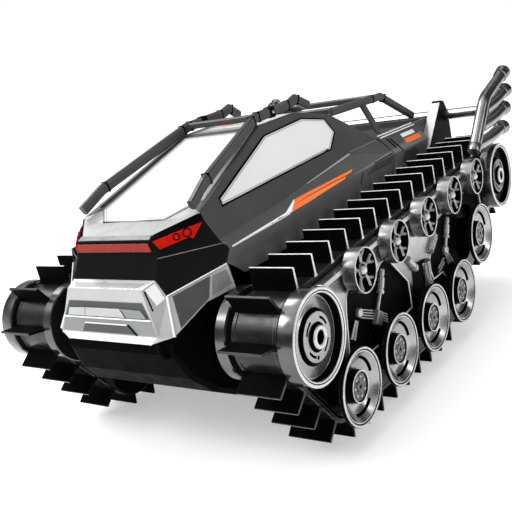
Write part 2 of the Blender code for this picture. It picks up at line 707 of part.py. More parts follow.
def build_front_cage():
    """Tube frame over the windscreen and roof, with a cross bar at its front joint."""
    rail = [
        (38.2, -126.0, 132.6), (36.2, -111.7, 140.4), (24.8, -45.0, 162.2), (25.0, -9.0, 164.4),
        (25.0, -2.0, 166.6), (26.5, 9.0, 161.2),
    ]
    section = flat_section(CAGE_WIDE, 5.5, 1.0)
    bm = bmesh.new()
    add_bar(bm, rail, section)
    cage = solid("front_cage", bm, ((0.18, 0.18, 0.18), 0.45))
    join_bars(cage, [[(-24.8, -43.5, 162.4), (24.8, -43.5, 162.4)]], flat_section(4.5, 3.6, 0.8))
    join_bars(cage, [[(-x, y, z) for x, y, z in rail]], section)


def join_bars(target, bars, section):
    for points in bars:
        other = bmesh.new()
        add_bar(other, points, section)
        combine(target, other, "UNION")


def build_rear_rack():
    """Rails from the cab's tail over the bed, with braces down to the bed sides and two cross bars."""
    rail = [(33.2, 25.0, 153.8), (36.0, 88.0, 154.4), (39.6, 127.5, 134.8)]
    brace = [(34.9, 62.0, 153.6), (47.3, 56.5, 134.2)]
    section = flat_section(CAGE_WIDE, 5.0, 1.0)
    bm = bmesh.new()
    add_bar(bm, rail, section)
    rack = solid("rear_rack", bm, ((0.16, 0.16, 0.16), 0.45))
    across = [[(-36.0, 87.0, 154.3), (36.0, 87.0, 154.3)], [(-33.6, 34.0, 153.9), (33.6, 34.0, 153.9)]]
    join_bars(rack, across, flat_section(3.6, 4.0, 0.9))
    join_bars(rack, [[(-x, y, z) for x, y, z in rail]], section)
    join_bars(rack, [brace, [(-x, y, z) for x, y, z in brace]], flat_section(3.6, 4.0, 0.9))


def build_bed():
    """Open load bed with flared sides, and the low deck behind it that carries the fins."""
    left = [(48.6, 131.4), (59.3, 120.2), (57.2, 113.2), (53.8, 98.0)]
    outline = left + [(-x, z) for x, z in reversed(left)]
    bm = bmesh.new()
    add_prism(bm, [outline], BED_FRONT, FLARE_REAR, axis=1)
    bed = solid("cargo_bed", bm, ((0.09, 0.09, 0.09), 0.45))
    rear = bmesh.new()
    add_box(rear, (-48.6, FLARE_REAR - 1.0, 98.0), (48.6, BED_REAR, 131.4))
    combine(bed, rear, "UNION")
    deck = bmesh.new()
    add_box(deck, (-56.2, FLARE_REAR - 1.0, 98.5), (56.2, DECK_REAR, 109.0))
    combine(bed, deck, "UNION")
    space = bmesh.new()
    add_box(space, (-45.6, BED_FRONT + 2.6, 114.0), (45.6, BED_REAR - 2.6, 140.0))
    combine(bed, space, "DIFFERENCE")
    under = bmesh.new()
    add_box(under, (-51.0, BED_FRONT + 2.6, 90.0), (51.0, DECK_REAR - 3.0, 106.6))
    combine(bed, under, "DIFFERENCE")


def build_spoiler():
    """Swept fins at the rear corners with a round bar through them."""
    outline = [(111.5, 109.3), (141.0, 139.4), (144.5, 141.4), (149.0, 140.4), (155.6, 131.0), (156.8, 109.3)]
    for label, side in SIDES:
        bm = bmesh.new()
        y, z, radius = SPOILER
        add_prism(bm, [outline, circle(y, z, radius + 0.5, 12)], side * 49.2, side * 56.2)
        solid(f"spoiler_fin_{label}", bm, ((0.2, 0.2, 0.2), 0.4))
    bm = bmesh.new()
    add_rod(bm, -92.0, 92.0, *SPOILER, 12)
    solid("spoiler_bar", bm, ((0.5, 0.5, 0.5), 0.3, 0.6))


def build_exhaust(label, side):
    """Riser pipe with three branches behind it, each ending in a collared mouth."""
    x = side * EXHAUST_X
    foot = (x, 86.5, 111.0)
    bend = (x, *BRANCHES[-1])
    bm = bmesh.new()
    add_bar(bm, [foot, bend, (x, *MOUTHS[-1])], round_section(EXHAUST_R, 10))
    pipe = solid(f"exhaust_{label}", bm, ((0.55, 0.55, 0.55), 0.25, 1.0))
    for root, mouth in zip(BRANCHES[:-1], MOUTHS):
        branch = bmesh.new()
        add_bar(branch, [(x, *root), (x, *mouth)], round_section(BRANCH_R, 8))
        combine(pipe, branch, "UNION")
    for root, mouth in zip(BRANCHES, MOUTHS):
        way = Vector((0.0, mouth[0] - root[0], mouth[1] - root[1])).normalized()
        end = Vector((x, *mouth))
        collar = bmesh.new()
        add_bar(collar, [end - way * 4.0, end + way * 3.0], round_section(5.0, 8))
        combine(pipe, collar, "UNION")
        bore = bmesh.new()
        add_bar(bore, [end - way * 2.0, end + way * 6.0], round_section(2.8, 8))
        combine(pipe, bore, "DIFFERENCE")


def build_all():
    clear_scene()
    build_tub()
    build_battery_bay()
    build_circuit_board()
    for label, side in SIDES:
        build_track_frame(label, side)
        build_skirt(label, side)
        build_wheels(label, side)
        build_belt(label, side)
        build_drive(label, side)
        build_exhaust(label, side)
    build_body()
    build_lamps()
    build_front_cage()
    build_rear_rack()
    build_bed()
    build_spoiler()


build_all()
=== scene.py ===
"""Looks for a radio-controlled tracked buggy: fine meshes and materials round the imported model.

Sizes are in millimetres until piece() scales them. +Z is up, the nose faces -Y and +X is the left side.
"""

from math import asin, atan2, ceil, copysign, cos, degrees, dist, hypot, pi, radians, sin

import bmesh
import bpy
from mathutils import Matrix, Vector
from mathutils.bvhtree import BVHTree


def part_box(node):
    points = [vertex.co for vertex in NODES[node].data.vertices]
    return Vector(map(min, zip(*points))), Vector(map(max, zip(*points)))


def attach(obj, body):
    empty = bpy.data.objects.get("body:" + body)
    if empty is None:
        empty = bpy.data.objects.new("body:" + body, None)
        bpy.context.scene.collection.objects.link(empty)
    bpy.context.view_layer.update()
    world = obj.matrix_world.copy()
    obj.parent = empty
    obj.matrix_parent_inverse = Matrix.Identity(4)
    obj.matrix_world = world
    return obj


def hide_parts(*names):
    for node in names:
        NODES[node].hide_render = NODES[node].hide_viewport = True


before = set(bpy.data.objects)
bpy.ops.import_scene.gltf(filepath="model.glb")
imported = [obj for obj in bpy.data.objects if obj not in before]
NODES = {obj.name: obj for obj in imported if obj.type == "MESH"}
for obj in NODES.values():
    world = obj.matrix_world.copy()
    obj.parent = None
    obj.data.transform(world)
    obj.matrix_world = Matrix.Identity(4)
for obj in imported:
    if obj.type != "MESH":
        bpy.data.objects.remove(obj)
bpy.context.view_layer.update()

MM = 0.001
SIDES = (("left", 1), ("right", -1))
TURN = 2 * pi

# Steps round a wheel, the weld distance, the angle in degrees from which an edge is sharp, the cosines that
# count as a straight line and as the same way, and the longest triangles of a decal along x, y and z.
FINE, WELD, SHARP = 96, 0.0005, 32
STRAIGHT, FACES_ALONG = 0.9995, 0.9
CUT_SIZES = (3, 3, 0.6)

# Where the belt runs on each kind of wheel, and its own sizes.
RIDE = {"drive": 18.2, "idler": 17.8, "road": 19.2, "return": 7.8}
FIRST_ROAD_RIDE = 16.4
DRUM_GAP, WHEEL_BACK = 0.4, 57
BELT_THICK, BELT_X = 1.8, (65, 89.5)
PADDLES, PADDLE_PHASE, PADDLE_TALL = 41, 16, 11.2
# Paddles whose normal points up more than this get a painted highlight on their tip and outer end; the
# others get a shaded dark copy.
UPWARD = 0.85

# Planes of the skirt and of what lies before it, and how far a point slides per millimetre ahead.
SKIRT_X, LINK_X, SPRING_X, LEDGE_X = 88.4, 89.8, 90, 94.8
SLIDE = (-1.469, 0.468)
ROLLER_GAP, END_GAP = 12, 17.5
BODY_MIDDLE = Vector((0, -40, 100))
FLOOR_HALF = 6


# ---- materials


# Sizes in millimetres, and the noise or normal values between which a mask rises.
WHITE = (1, 1, 1, 1)
CLOUD_RANGE = (0.35, 0.65)
GLOSS_PATCH, GLOSSIER, DULLER = 7, 0.07, 0.09
EDGE_BREAKUP_SIZE = 2.4
DEEP_BLACK = {"specular": 0.4, "ior": 1.06}
EDGE_RADIUS = 0.5
EDGE_RANGE = (0.97, 0.7)


def node(tree, kind, inputs=None, **settings):
    """Add a shader node. Each input is a plain value, or a socket that gets linked."""
    made = tree.nodes.new("ShaderNode" + kind)
    for key, value in settings.items():
        setattr(made, key, value)
    for key, value in (inputs or {}).items():
        fill(tree, made, key, value)
    return made


def fill(tree, made, key, value):
    if isinstance(value, bpy.types.NodeSocket):
        tree.links.new(value, made.inputs[key])
    else:
        made.inputs[key].default_value = value


def noise(tree, place, size, detail=3, stretch=None):
    """Noise whose features are about size millimetres across."""
    if stretch:
        place = node(tree, "Mapping", {"Vector": place, "Scale": stretch}).outputs["Vector"]
    inputs = {"Scale": 1 / (size * MM), "Detail": detail, "Vector": place}
    return node(tree, "TexNoise", inputs).outputs["Fac"]


def ranged(tree, value, low, high, to_low=0, to_high=1):
    inputs = {"Value": value, "From Min": low, "From Max": high, "To Min": to_low, "To Max": to_high}
    return node(tree, "MapRange", inputs).outputs["Result"]


def mixed(tree, share, first, second):
    """Mix two colours, each a socket or a plain colour."""
    first, second = (c if isinstance(c, bpy.types.NodeSocket) else (*c, 1) for c in (first, second))
    return node(tree, "MixRGB", {"Fac": share, "Color1": first, "Color2": second}).outputs["Color"]


def times(tree, first, second):
    return node(tree, "Math", {0: first, 1: second}, operation="MULTIPLY").outputs[0]


def dotted(tree, first, second):
    return node(tree, "VectorMath", {0: first, 1: second}, operation="DOT_PRODUCT").outputs["Value"]


def edge_mask(tree):
    """White along corners, from the difference between the rounded and the true normal."""
    rounded = node(tree, "Bevel", {"Radius": EDGE_RADIUS * MM}, samples=4).outputs["Normal"]
    return ranged(tree, dotted(tree, rounded, node(tree, "NewGeometry").outputs["Normal"]), *EDGE_RANGE)


def grey(shade):
    """A colour from a single number, or from three."""
    return (shade,) * 3 if isinstance(shade, float) else shade


def finish(name, colour, rough, metal=0, spread=0.15, grain=0.012, scuff_and_edge_light=0, scuff_and_edge_light_colour=0.45, patch=22,
           grain_size=0.5, coat=0, specular=0.5, ior=1.5, stretch=None, painted_light_zone=None):
    """A moulded or plated surface: cloudy colour, uneven gloss, fine grain, and corners lightened in broken
    patches, partly scuffs and partly painted highlights where light catches the edges.

    patch and grain_size are sizes and grain a height, all in millimetres. The last argument paints light: a
    direction, a start, a soft width and the colour painted beyond that plane, where the part catches more
    light.
    """
    material = bpy.data.materials.new(name)
    material.use_nodes = True
    tree = material.node_tree
    shader = tree.nodes["Principled BSDF"]
    constants = {"Metallic": metal, "Coat Weight": coat, "Coat Roughness": 0.1,
                 "Specular IOR Level": specular, "IOR": ior}
    place = node(tree, "TexCoord").outputs["Object"]
    cloud = ranged(tree, noise(tree, place, patch, 4, stretch), *CLOUD_RANGE)
    dark, light = ([min(1, c * (1 + sign * spread)) for c in grey(colour)] for sign in (-1, 1))
    shade = mixed(tree, cloud, dark, light)
    # Painted light: beyond a plane fixed to the part, the colour turns lighter, standing in for light the
    # surface catches.
    if painted_light_zone:
        direction, start, soft, other = painted_light_zone
        share = ranged(tree, dotted(tree, place, direction), start * MM, (start + soft) * MM)
        shade = mixed(tree, share, shade, grey(other))
    gloss = noise(tree, place, GLOSS_PATCH, 5, stretch)
    gloss = ranged(tree, gloss, 0.3, 0.7, max(0.03, rough - GLOSSIER), rough + DULLER)
    # Lighter broken patches along the corners: scuffs, and painted highlights standing in for light catching
    # the edges.
    if scuff_and_edge_light:
        edge_breakup = ranged(tree, noise(tree, place, EDGE_BREAKUP_SIZE, 4), 0.36, 0.62, 0.35)
        share = ranged(tree, times(tree, edge_mask(tree), edge_breakup), 0, 1, 0, scuff_and_edge_light)
        shade = mixed(tree, share, shade, grey(scuff_and_edge_light_colour))
    fine = noise(tree, place, grain_size, 2, stretch)
    bump = node(tree, "Bump", {"Strength": 0.7, "Distance": grain * MM, "Height": fine}).outputs["Normal"]
    for key, value in {**constants, "Base Color": shade, "Roughness": gloss, "Normal": bump}.items():
        fill(tree, shader, key, value)
    return material


def knurled(name, colour, rough, metal, pitch, depth):
    """A plated surface pressed with a fine square mesh."""
    material = finish(name, colour, rough, metal)
    tree = material.node_tree
    place = next(n for n in tree.nodes if n.bl_idname == "ShaderNodeTexCoord").outputs["Object"]
    weave = node(tree, "TexVoronoi", {"Scale": 1 / (pitch * MM), "Randomness": 0, "Vector": place},
                 distance="CHEBYCHEV").outputs["Distance"]
    bump = next(n for n in tree.nodes if n.bl_idname == "ShaderNodeBump")
    fill(tree, bump, "Distance", depth * MM)
    fill(tree, bump, "Height", weave)
    shader = tree.nodes["Principled BSDF"]
    plain = shader.inputs["Base Color"].links[0].from_socket
    fill(tree, shader, "Base Color", mixed(tree, ranged(tree, weave, 0.28, 0.4), plain, grey(0.02)))
    return material


# Each look: name, colour, roughness, metal, spread, grain, the share and colour of the lightened corners
# (scuffs and painted edge highlights), then what is rare.
LOOKS = {
    "hull": finish("hull_black", 0.0015, 0.42, 0, 0.15, 0.012, 0.3, 0.1, **DEEP_BLACK),
    "frame": finish("frame_black", 0.004, 0.3, 0, 0.15, 0.012, 0.7, 0.5, **DEEP_BLACK),
    # Painted sheen: the plate is painted lighter above 46 mm, standing in for the light its upper part
    # reflects.
    "panel": finish("panel_grey", 0.012, 0.24, 0.9, 0.12, 0.005, 0.9, 0.75,
        painted_light_zone=((0, 0, 1), 46, 34, (0.4, 0.405, 0.405))),
    # Painted light: the shell turns lighter below the side crease, standing in for the light that lower band
    # catches.
    "shell": finish("shell_grey", (0.06, 0.06, 0.062), 0.42, 0, 0.08, 0.01, 0.3, (0.28, 0.28, 0.29),
        specular=0.25, painted_light_zone=((0, 0.0623, -1), -119.3, 0.3, (0.14, 0.14, 0.142))),
    "mask": finish("mask_black", (0.008, 0.008, 0.0082), 0.3, 0, 0.05, 0.004, 0.3, 0.2, **DEEP_BLACK),
    "brow": finish("brow_grey", (0.13, 0.13, 0.132), 0.34, 0, 0.15, 0.006, 0.4, specular=0.3),
    "silver": finish("silver_trim", (0.5, 0.51, 0.51), 0.3, 0.3, 0.05, 0.004, 0.35, 0.9, coat=0.2),
    # A darker copy of silver_trim: painted shade on silver faces turned from the light, such as the right
    # grille slat; it also makes dark trim lines.
    "silver_dark": finish("silver_shade", (0.25, 0.26, 0.262), 0.34, 0.3, 0.06, 0.004, 0.5, 0.8),
    "slate": finish("slate_trim", (0.062, 0.065, 0.067), 0.36, 0.2, 0.08, 0.005, 0.7, 0.6),
    "white": finish("white_trim", 0.85, 0.3, 0, 0.03, 0.003),
    "cowl": finish("cowl_grey", (0.38, 0.385, 0.385), 0.3, 0.1, 0.04, 0.004, 0.4, 0.8, coat=0.2),
    "glass": finish("glazing", (0.86, 0.865, 0.87), 0.12, 0, 0.02, 0.001, patch=60, coat=0.4, grain_size=3),
    "roof": finish("roof_white", 0.86, 0.28, 0, 0.02, 0.003, coat=0.2),
    "strip": finish("lamp_strip", (0.27, 0.018, 0.013), 0.22, 0, 0.1, 0.008, patch=5, grain_size=1.4,
        specular=0.2, stretch=(4, 1, 1)),
    "red": finish("lamp_red", (0.48, 0.008, 0.003), 0.18, 0, 0.12, 0.008, patch=5, grain_size=1.4,
        specular=0.2, stretch=(4, 1, 1)),
    "orange": finish("orange_paint", (0.92, 0.17, 0.018), 0.33, 0, 0.05, 0.003, specular=0.25),
    "cage": finish("cage_grey", (0.046, 0.046, 0.047), 0.36, 0, 0.1, 0.008, 0.8, 0.42, specular=0.3),
    # Near-black and barely reflecting: dark joints and seals, and painted shade where it lines wheel slots,
    # deep grooves and the skirt inside the pockets.
    "gap": finish("gap_black", 0.002, 0.5, specular=0.2, ior=1.1),
    "chrome": finish("exhaust_plate", (0.2, 0.205, 0.21), 0.2, 1, 0.12, 0.003, 0.6, 0.85),
    # Near-black lining and end disc inside each pipe mouth: painted shade for the depth of the bore.
    "bore": finish("bore_shade_black", 0.005, 0.7, specular=0.05),
    "rubber": finish("track_rubber", 0.0025, 0.42, 0, 0.2, 0.015, 0.5, 0.4, grain_size=0.4, **DEEP_BLACK),
    # A painted highlight for the tip and outer end of upper-run paddles, and a shaded dark copy with lighter
    # scuffed corners for the rest.
    "paddle_edge_highlight": finish("paddle_edge_highlight", 0.82, 0.35, 0, 0.15, 0.01, patch=6),
    "paddle_edge_shade_and_scuff": finish("paddle_edge_shade_and_scuff", 0.02, 0.3, 0, 0.3, 0.01, 0.9, 0.5, patch=6),
    "band": finish("belt_band", (0.016, 0.016, 0.0162), 0.28, 0.5, 0.15, 0.01, 0.9, 0.6, grain_size=0.4),
    "tyre": finish("tyre_black", 0.003, 0.3, 0, 0.2, 0.006, 0.5, 0.4, **DEEP_BLACK),
    "rim": finish("rim_bright", (0.62, 0.63, 0.63), 0.27, 0.4, 0.06, 0.003, 0.4, 0.95),
    "spoke": finish("spoke_dark", 0.3, 0.25, 0.5, 0.2, 0.004, 1, 0.9, patch=5),
    "dish": finish("wheel_plate", (0.38, 0.385, 0.385), 0.22, 0.92, 0.12, 0.004, 0.4, 0.85, patch=12),
    "drive": finish("drive_plate", (0.3, 0.305, 0.305), 0.24, 0.85, 0.1, 0.004, 0.5, 0.9, patch=14),
    "idler": finish("idler_plate", (0.07, 0.072, 0.072), 0.24, 0.8, 0.2, 0.004, 1, 0.8, patch=8),
    "drum": finish("drum_black", (0.11, 0.11, 0.111), 0.17, 0.9, 0.15, 0.003, 0.7, 0.6),
    "roller": finish("roller_metal", (0.24, 0.24, 0.242), 0.24, 0.9, 0.06, 0.003, 0.8, 0.8, patch=40),
    "hub": finish("hub_grey", (0.11, 0.113, 0.113), 0.4, 0.4, 0.6, 0.1, 0.9, 0.6, patch=1.8,
        grain_size=0.8),
    "steel": finish("motor_steel", (0.42, 0.42, 0.43), 0.28, 1, 0.1, 0.004, stretch=(1, 8, 8)),
    "spring": finish("spring_steel", (0.42, 0.425, 0.425), 0.25, 0.6, 0.1, 0.003, 0.8, 0.9, patch=5),
    "mesh": knurled("can_mesh", (0.5, 0.51, 0.51), 0.3, 0.5, 1.1, 0.15),
    "nylon": finish("gear_nylon", (0.66, 0.65, 0.6), 0.45, 0, 0.06, 0.01),
    "brass": finish("pinion_brass", (0.62, 0.42, 0.15), 0.28, 1, 0.12, 0.004),
    "board": finish("board_green", (0.012, 0.11, 0.045), 0.35, 0, 0.3, 0.01, patch=5),
    "battery": finish("battery_blue", (0.02, 0.06, 0.26), 0.3, 0, 0.1, 0.01, grain_size=4, coat=0.4),
    "switch": finish("switch_red", (0.42, 0.03, 0.02), 0.35, 0, 0.15, 0.01),
}


# ---- mesh helpers


def helper(name, bm):
    mesh = bpy.data.meshes.new(name)
    bm.to_mesh(mesh)
    bm.free()
    item = bpy.data.objects.new(name, mesh)
    bpy.context.scene.collection.objects.link(item)
    return item


def piece(name, bm, looks, body="root", stands_for=(), bevel=0, sharp=SHARP):
    """Turn a bmesh in millimetres into a named piece that rides on a CAD body."""
    bmesh.ops.remove_doubles(bm, verts=bm.verts, dist=WELD)
    bmesh.ops.recalc_face_normals(bm, faces=bm.faces)
    bmesh.ops.scale(bm, verts=bm.verts, vec=(MM, MM, MM))
    item = helper(name, bm)
    item.data.shade_smooth()
    item.data.set_sharp_from_angle(angle=radians(sharp))
    for look in [looks] if isinstance(looks, str) else looks:
        item.data.materials.append(LOOKS[look])
    if bevel:
        soften(item, bevel)
    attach(item, body)
    if stands_for:
        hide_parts(*stands_for)


def soften(item, width):
    """Round the corners by a real radius."""
    step = item.modifiers.new("Soften", "BEVEL")
    step.width, step.segments = width * MM, 2
    step.limit_method, step.angle_limit = "ANGLE", radians(SHARP)


def quad(bm, corners, index=0):
    bm.faces.new([bm.verts.new(c) for c in corners]).material_index = index


def join(bm, first, second):
    """Quads from one ring of corners to the next."""
    for k in range(len(first)):
        j = (k + 1) % len(first)
        bm.faces.new((first[k], first[j], second[j], second[k]))


def revolve(bm, origin, axis, profile, steps=48, closed=False):
    """Turn (along, radius, material) points about an axis. A radius of 0 closes an end."""
    origin, axis = Vector(origin), Vector(axis).normalized()
    across = axis.orthogonal().normalized()
    up = axis.cross(across)
    spokes = [across * cos(TURN * k / steps) + up * sin(TURN * k / steps) for k in range(steps)]
    rings = []
    for point in profile:
        centre = origin + axis * point[0]
        if point[1] < 1e-6:
            rings.append([bm.verts.new(centre)])
        else:
            rings.append([bm.verts.new(centre + spoke * point[1]) for spoke in spokes])
    count = len(rings) if closed else len(rings) - 1
    for i in range(count):
        ring, after = rings[i], rings[(i + 1) % len(rings)]
        index = profile[i][2] if len(profile[i]) > 2 else 0
        if len(ring) == 1 and len(after) == 1:
            continue
        for k in range(steps):
            j = (k + 1) % steps
            corners = [ring[0]] if len(ring) == 1 else [ring[k], ring[j]]
            corners += [after[0]] if len(after) == 1 else [after[j], after[k]]
            bm.faces.new(corners).material_index = index


def sweep(bm, path, section, closed=False):
    """Carry a section along a bent line, turning its frame as little as possible."""
    path = [Vector(p) for p in path]
    count = len(path)
    runs = [(path[(i + 1) % count] - path[i]).normalized() for i in range(count if closed else count - 1)]
    up = runs[0].orthogonal().normalized()
    rings = []
    for i, point in enumerate(path):
        before = runs[i - 1] if closed or i else runs[0]
        after = runs[i % len(runs)] if closed else runs[min(i, len(runs) - 1)]
        way = (before + after).normalized()
        up = (up - way * up.dot(way)).normalized()
        side = way.cross(up)
        stretch = 1 / max(0.5, way.dot(before))
        bend = after - before
        bend = bend.normalized() if bend.length > 1e-5 else Vector()
        ring = []
        for across, rise in section:
            offset = side * across + up * rise
            offset += bend * (offset.dot(bend) * (stretch - 1))
            ring.append(bm.verts.new(point + offset))
        rings.append(ring)
    n = len(section)
    for i, first in enumerate(rings if closed else rings[:-1]):
        second, shift = rings[(i + 1) % count], 0
        if i == count - 1:
            shift = min(range(n), key=lambda s: (first[0].co - second[s].co).length)
        for k in range(n):
            j = (k + 1) % n
            bm.faces.new((first[k], first[j], second[(j + shift) % n], second[(k + shift) % n]))
    if not closed:
        bm.faces.new(rings[0])
        bm.faces.new(rings[-1])


def flat_section(wide, tall):
    return [(-wide, -tall), (wide, -tall), (wide, tall), (-wide, tall)]


def round_section(radius, sides=10):
    return [(radius * cos(TURN * k / sides), radius * sin(TURN * k / sides)) for k in range(sides)]


def rounded(points, radius, steps=5):
    """Replace each inner corner of a line by an arc."""
    points = [Vector(p) for p in points]
    line = [points[0]]
    for before, corner, after in zip(points, points[1:], points[2:]):
        a = corner + (before - corner).normalized() * min(radius, (before - corner).length * 0.45)
        b = corner + (after - corner).normalized() * min(radius, (after - corner).length * 0.45)
        for k in range(steps + 1):
            t = k / steps
            line.append(a * (1 - t) ** 2 + corner * 2 * t * (1 - t) + b * t ** 2)
    return line + [points[-1]]


def prism(bm, outline, low, high):
    """Extrude a flat (y, z) outline from one x to another."""
    verts = [bm.verts.new((low, y, z)) for y, z in outline]
    edges = [bm.edges.new((v, verts[(k + 1) % len(verts)])) for k, v in enumerate(verts)]
    filled = bmesh.ops.triangle_fill(bm, use_beauty=True, edges=edges)
    faces = [g for g in filled["geom"] if isinstance(g, bmesh.types.BMFace)]
    grown = bmesh.ops.extrude_face_region(bm, geom=faces, use_keep_orig=True)
    moved = [g for g in grown["geom"] if isinstance(g, bmesh.types.BMVert)]
    bmesh.ops.translate(bm, verts=moved, vec=(high - low, 0, 0))


def block(bm, centre, along, up, sizes):
    """Add a box of sizes (along, sideways, up) turned to two directions."""
    along = Vector(along).normalized()
    side = along.cross(Vector(up)).normalized()
    axes = (along, side, side.cross(along))
    turned = Matrix([axis * size for axis, size in zip(axes, sizes)]).transposed().to_4x4()
    bmesh.ops.create_cube(bm, size=1, matrix=Matrix.Translation(centre) @ turned)


def film(name, points, look, thick=0.3, lift=0, bevel=0):
    """A thin plate over a flat outline of 3-D points, growing outward."""
    points = [Vector(p) for p in points]
    normal = face_direction(points)
    bm = bmesh.new()
    low, high = ([bm.verts.new(p + normal * h) for p in points] for h in (lift, lift + thick))
    join(bm, low, high)
    bm.faces.new(low)
    bm.faces.new(high)
    piece(name, bm, look, bevel=bevel)


def mirrored(points, side):
    return [(p[0] * side, p[1], p[2]) for p in points]


TREES = {}


def surface_of(name):
    """A search tree of a CAD node's faces, in millimetres."""
    if name not in TREES:
        mesh = NODES[name].data
        corners = [v.co / MM for v in mesh.vertices]
        TREES[name] = BVHTree.FromPolygons(corners, [tuple(p.vertices) for p in mesh.polygons])
    return TREES[name]


def decal(name, outline, onto, look, seen_from="side", side=1, thick=0.16, lift=0.03):
    """A paint-thin film: a flat outline cast onto a CAD node from the side, the front or the top."""
    axis, distance = {"side": (0, side * 130), "front": (1, -200), "top": (2, 220)}[seen_from]
    facing = Vector()
    facing[axis] = copysign(1, distance)
    corners = []
    for a, b in outline:
        corner = [a if axis == 0 else side * a, b]
        corner.insert(axis, distance)
        corners.append(corner)
    bm = bmesh.new()
    bm.faces.new([bm.verts.new(c) for c in corners])
    bmesh.ops.triangulate(bm, faces=bm.faces)
    for axis in range(3):
        low, high = min(c[axis] for c in corners), max(c[axis] for c in corners)
        cuts = int((high - low) / CUT_SIZES[axis])
        for k in range(1, cuts + 1):
            spot, normal = Vector(), Vector()
            spot[axis], normal[axis] = low + (high - low) * k / (cuts + 1), 1
            everything = bm.verts[:] + bm.edges[:] + bm.faces[:]
            bmesh.ops.bisect_plane(bm, geom=everything, plane_co=spot, plane_no=normal)
    bmesh.ops.triangulate(bm, faces=bm.faces)
    tree = surface_of(onto)
    rims = [e for e in bm.edges if len(e.link_faces) == 1]
    upper = {}
    for vert in list(bm.verts):
        hit, normal, _, _ = tree.ray_cast(vert.co, -facing)
        if hit is None:
            hit, normal, _, _ = tree.find_nearest(vert.co)
        normal = normal if normal.dot(facing) > 0 else -normal
        upper[vert] = bm.verts.new(hit + normal * (lift + thick))
        vert.co = hit + normal * lift
    for face in list(bm.faces):
        bm.faces.new([upper[v] for v in face.verts])
    for edge in rims:
        a, b = edge.verts
        bm.faces.new((a, b, upper[b], upper[a]))
    piece(name, bm, look)


def outline_of(name, facing):
    """Corners round the outer face of a CAD node, in order, in millimetres."""
    bm = bmesh.new()
    bm.from_mesh(NODES[name].data)
    bmesh.ops.remove_doubles(bm, verts=bm.verts, dist=1e-6)
    bm.normal_update()
    facing = Vector(facing).normalized()
    outer = {f for f in bm.faces if f.normal.dot(facing) > FACES_ALONG}
    rim = [e for e in bm.edges if len(outer.intersection(e.link_faces)) == 1]
    after = {}
    for edge in rim:
        for a, b in (edge.verts, reversed(edge.verts)):
            after.setdefault(a, []).append(b)
    line, last, here = [], None, rim[0].verts[0]
    while here not in line:
        line.append(here)
        last, here = here, next(v for v in after[here] if v is not last)
    points = [v.co / MM for v in line]
    bm.free()
    around = zip(points[-1:] + points[:-1], points, points[1:] + points[:1])
    return [p for a, p, b in around if (p - a).normalized().dot((b - p).normalized()) < STRAIGHT]


def glazed(name, points, inset, radius, look, lift):
    """A round trim along a pane's corners, moved inward by an even distance."""
    direction = face_direction(points)
    middle = sum(points, Vector()) / len(points)
    moved = []
    for k, point in enumerate(points):
        before = (point - points[k - 1]).normalized()
        after = (points[(k + 1) % len(points)] - point).normalized()
        in_1, in_2 = direction.cross(before), direction.cross(after)
        if in_1.dot(middle - point) < 0 and in_2.dot(middle - point) < 0:
            in_1, in_2 = -in_1, -in_2
        half = (in_1 + in_2).normalized()
        moved.append(point + half * (inset / max(0.35, half.dot(in_1))) + direction * lift)
    bead(name, moved, radius, look)


def face_direction(points):
    """Normal of a flat outline, pointing out of the body."""
    normal = sum((a.cross(b) for a, b in zip(points, points[1:] + points[:1])), Vector()).normalized()
    middle = sum(points, Vector()) / len(points)
    return normal if normal.dot(middle - BODY_MIDDLE) > 0 else -normal


def bead(name, points, radius, look, closed=True):
    """A thin round trim along a line."""
    bm = bmesh.new()
    sweep(bm, points, round_section(radius, 8), closed)
    piece(name, bm, look, sharp=50)


def bolt(bm, centre, axis, radius, tall):
    """A domed screw head."""
    dome = [(0, 0), (0, 1), (0.5, 1), (0.85, 0.8), (1, 0.45), (1, 0)]
    revolve(bm, centre, axis, [(a * tall, r * radius) for a, r in dome], 16)


def keep(name, look, bevel):
    """Give a CAD node that stays its finish and rounded corners."""
    item = NODES[name]
    item.data.materials.clear()
    item.data.materials.append(LOOKS[look])
    item.data.shade_flat()
    item.modifiers.new("Weld", "WELD").merge_threshold = 0.00001
    soften(item, bevel)


def wheel_place(name):
    """Centre y, z and rim radius of a wheel, from its CAD box."""
    low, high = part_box(name)
    return (low.y + high.y) / 2 / MM, (low.z + high.z) / 2 / MM, (high.z - low.z) / 2 / MM


# ---- wheels


def ride_of(name):
    return FIRST_ROAD_RIDE if name == "road_wheel_1" else RIDE[name.split("_")[0]]


def dish_depth(radius, outer, inner, deep):
    """How far a dished face lies behind its rim at a radius."""
    share = (outer - radius) / (outer - inner)
    return deep * sin(min(1, max(0, share)) * pi / 2)


def slotted_face(bm, side, y, z, face_x, radii, depth_at, slots, cut, index, slot_index):
    """A turned face with arc slots sunk in it, as (inner radius, outer radius, start, end) in degrees."""
    def spot(i, k, sunk):
        turn = TURN * k / FINE
        x = side * (face_x - depth_at(radii[i]) - sunk)
        return (x, y + radii[i] * cos(turn) * side, z + radii[i] * sin(turn))

    def sunk(i, k):
        if not 0 <= i < len(radii) - 1:
            return 0
        middle, turn = (radii[i] + radii[i + 1]) / 2, 360 * ((k % FINE) + 0.5) / FINE
        inside = any(a < middle < b and (turn - s) % 360 < (e - s) % 360 for a, b, s, e in slots)
        return cut if inside else 0

    def patch(index, *corners):
        quad(bm, [spot(*corner) for corner in corners], index)

    for i in range(len(radii) - 1):
        for k in range(FINE):
            deep = sunk(i, k)
            patch(slot_index if deep else index, (i, k, deep), (i, k + 1, deep), (i + 1, k + 1, deep),
                  (i + 1, k, deep))
            if sunk(i, k + 1) != deep:
                patch(slot_index, (i, k + 1, 0), (i, k + 1, cut), (i + 1, k + 1, cut), (i + 1, k + 1, 0))
            if sunk(i + 1, k) != deep and i + 1 < len(radii) - 1:
                patch(slot_index, (i + 1, k, 0), (i + 1, k, cut), (i + 1, k + 1, cut), (i + 1, k + 1, 0))


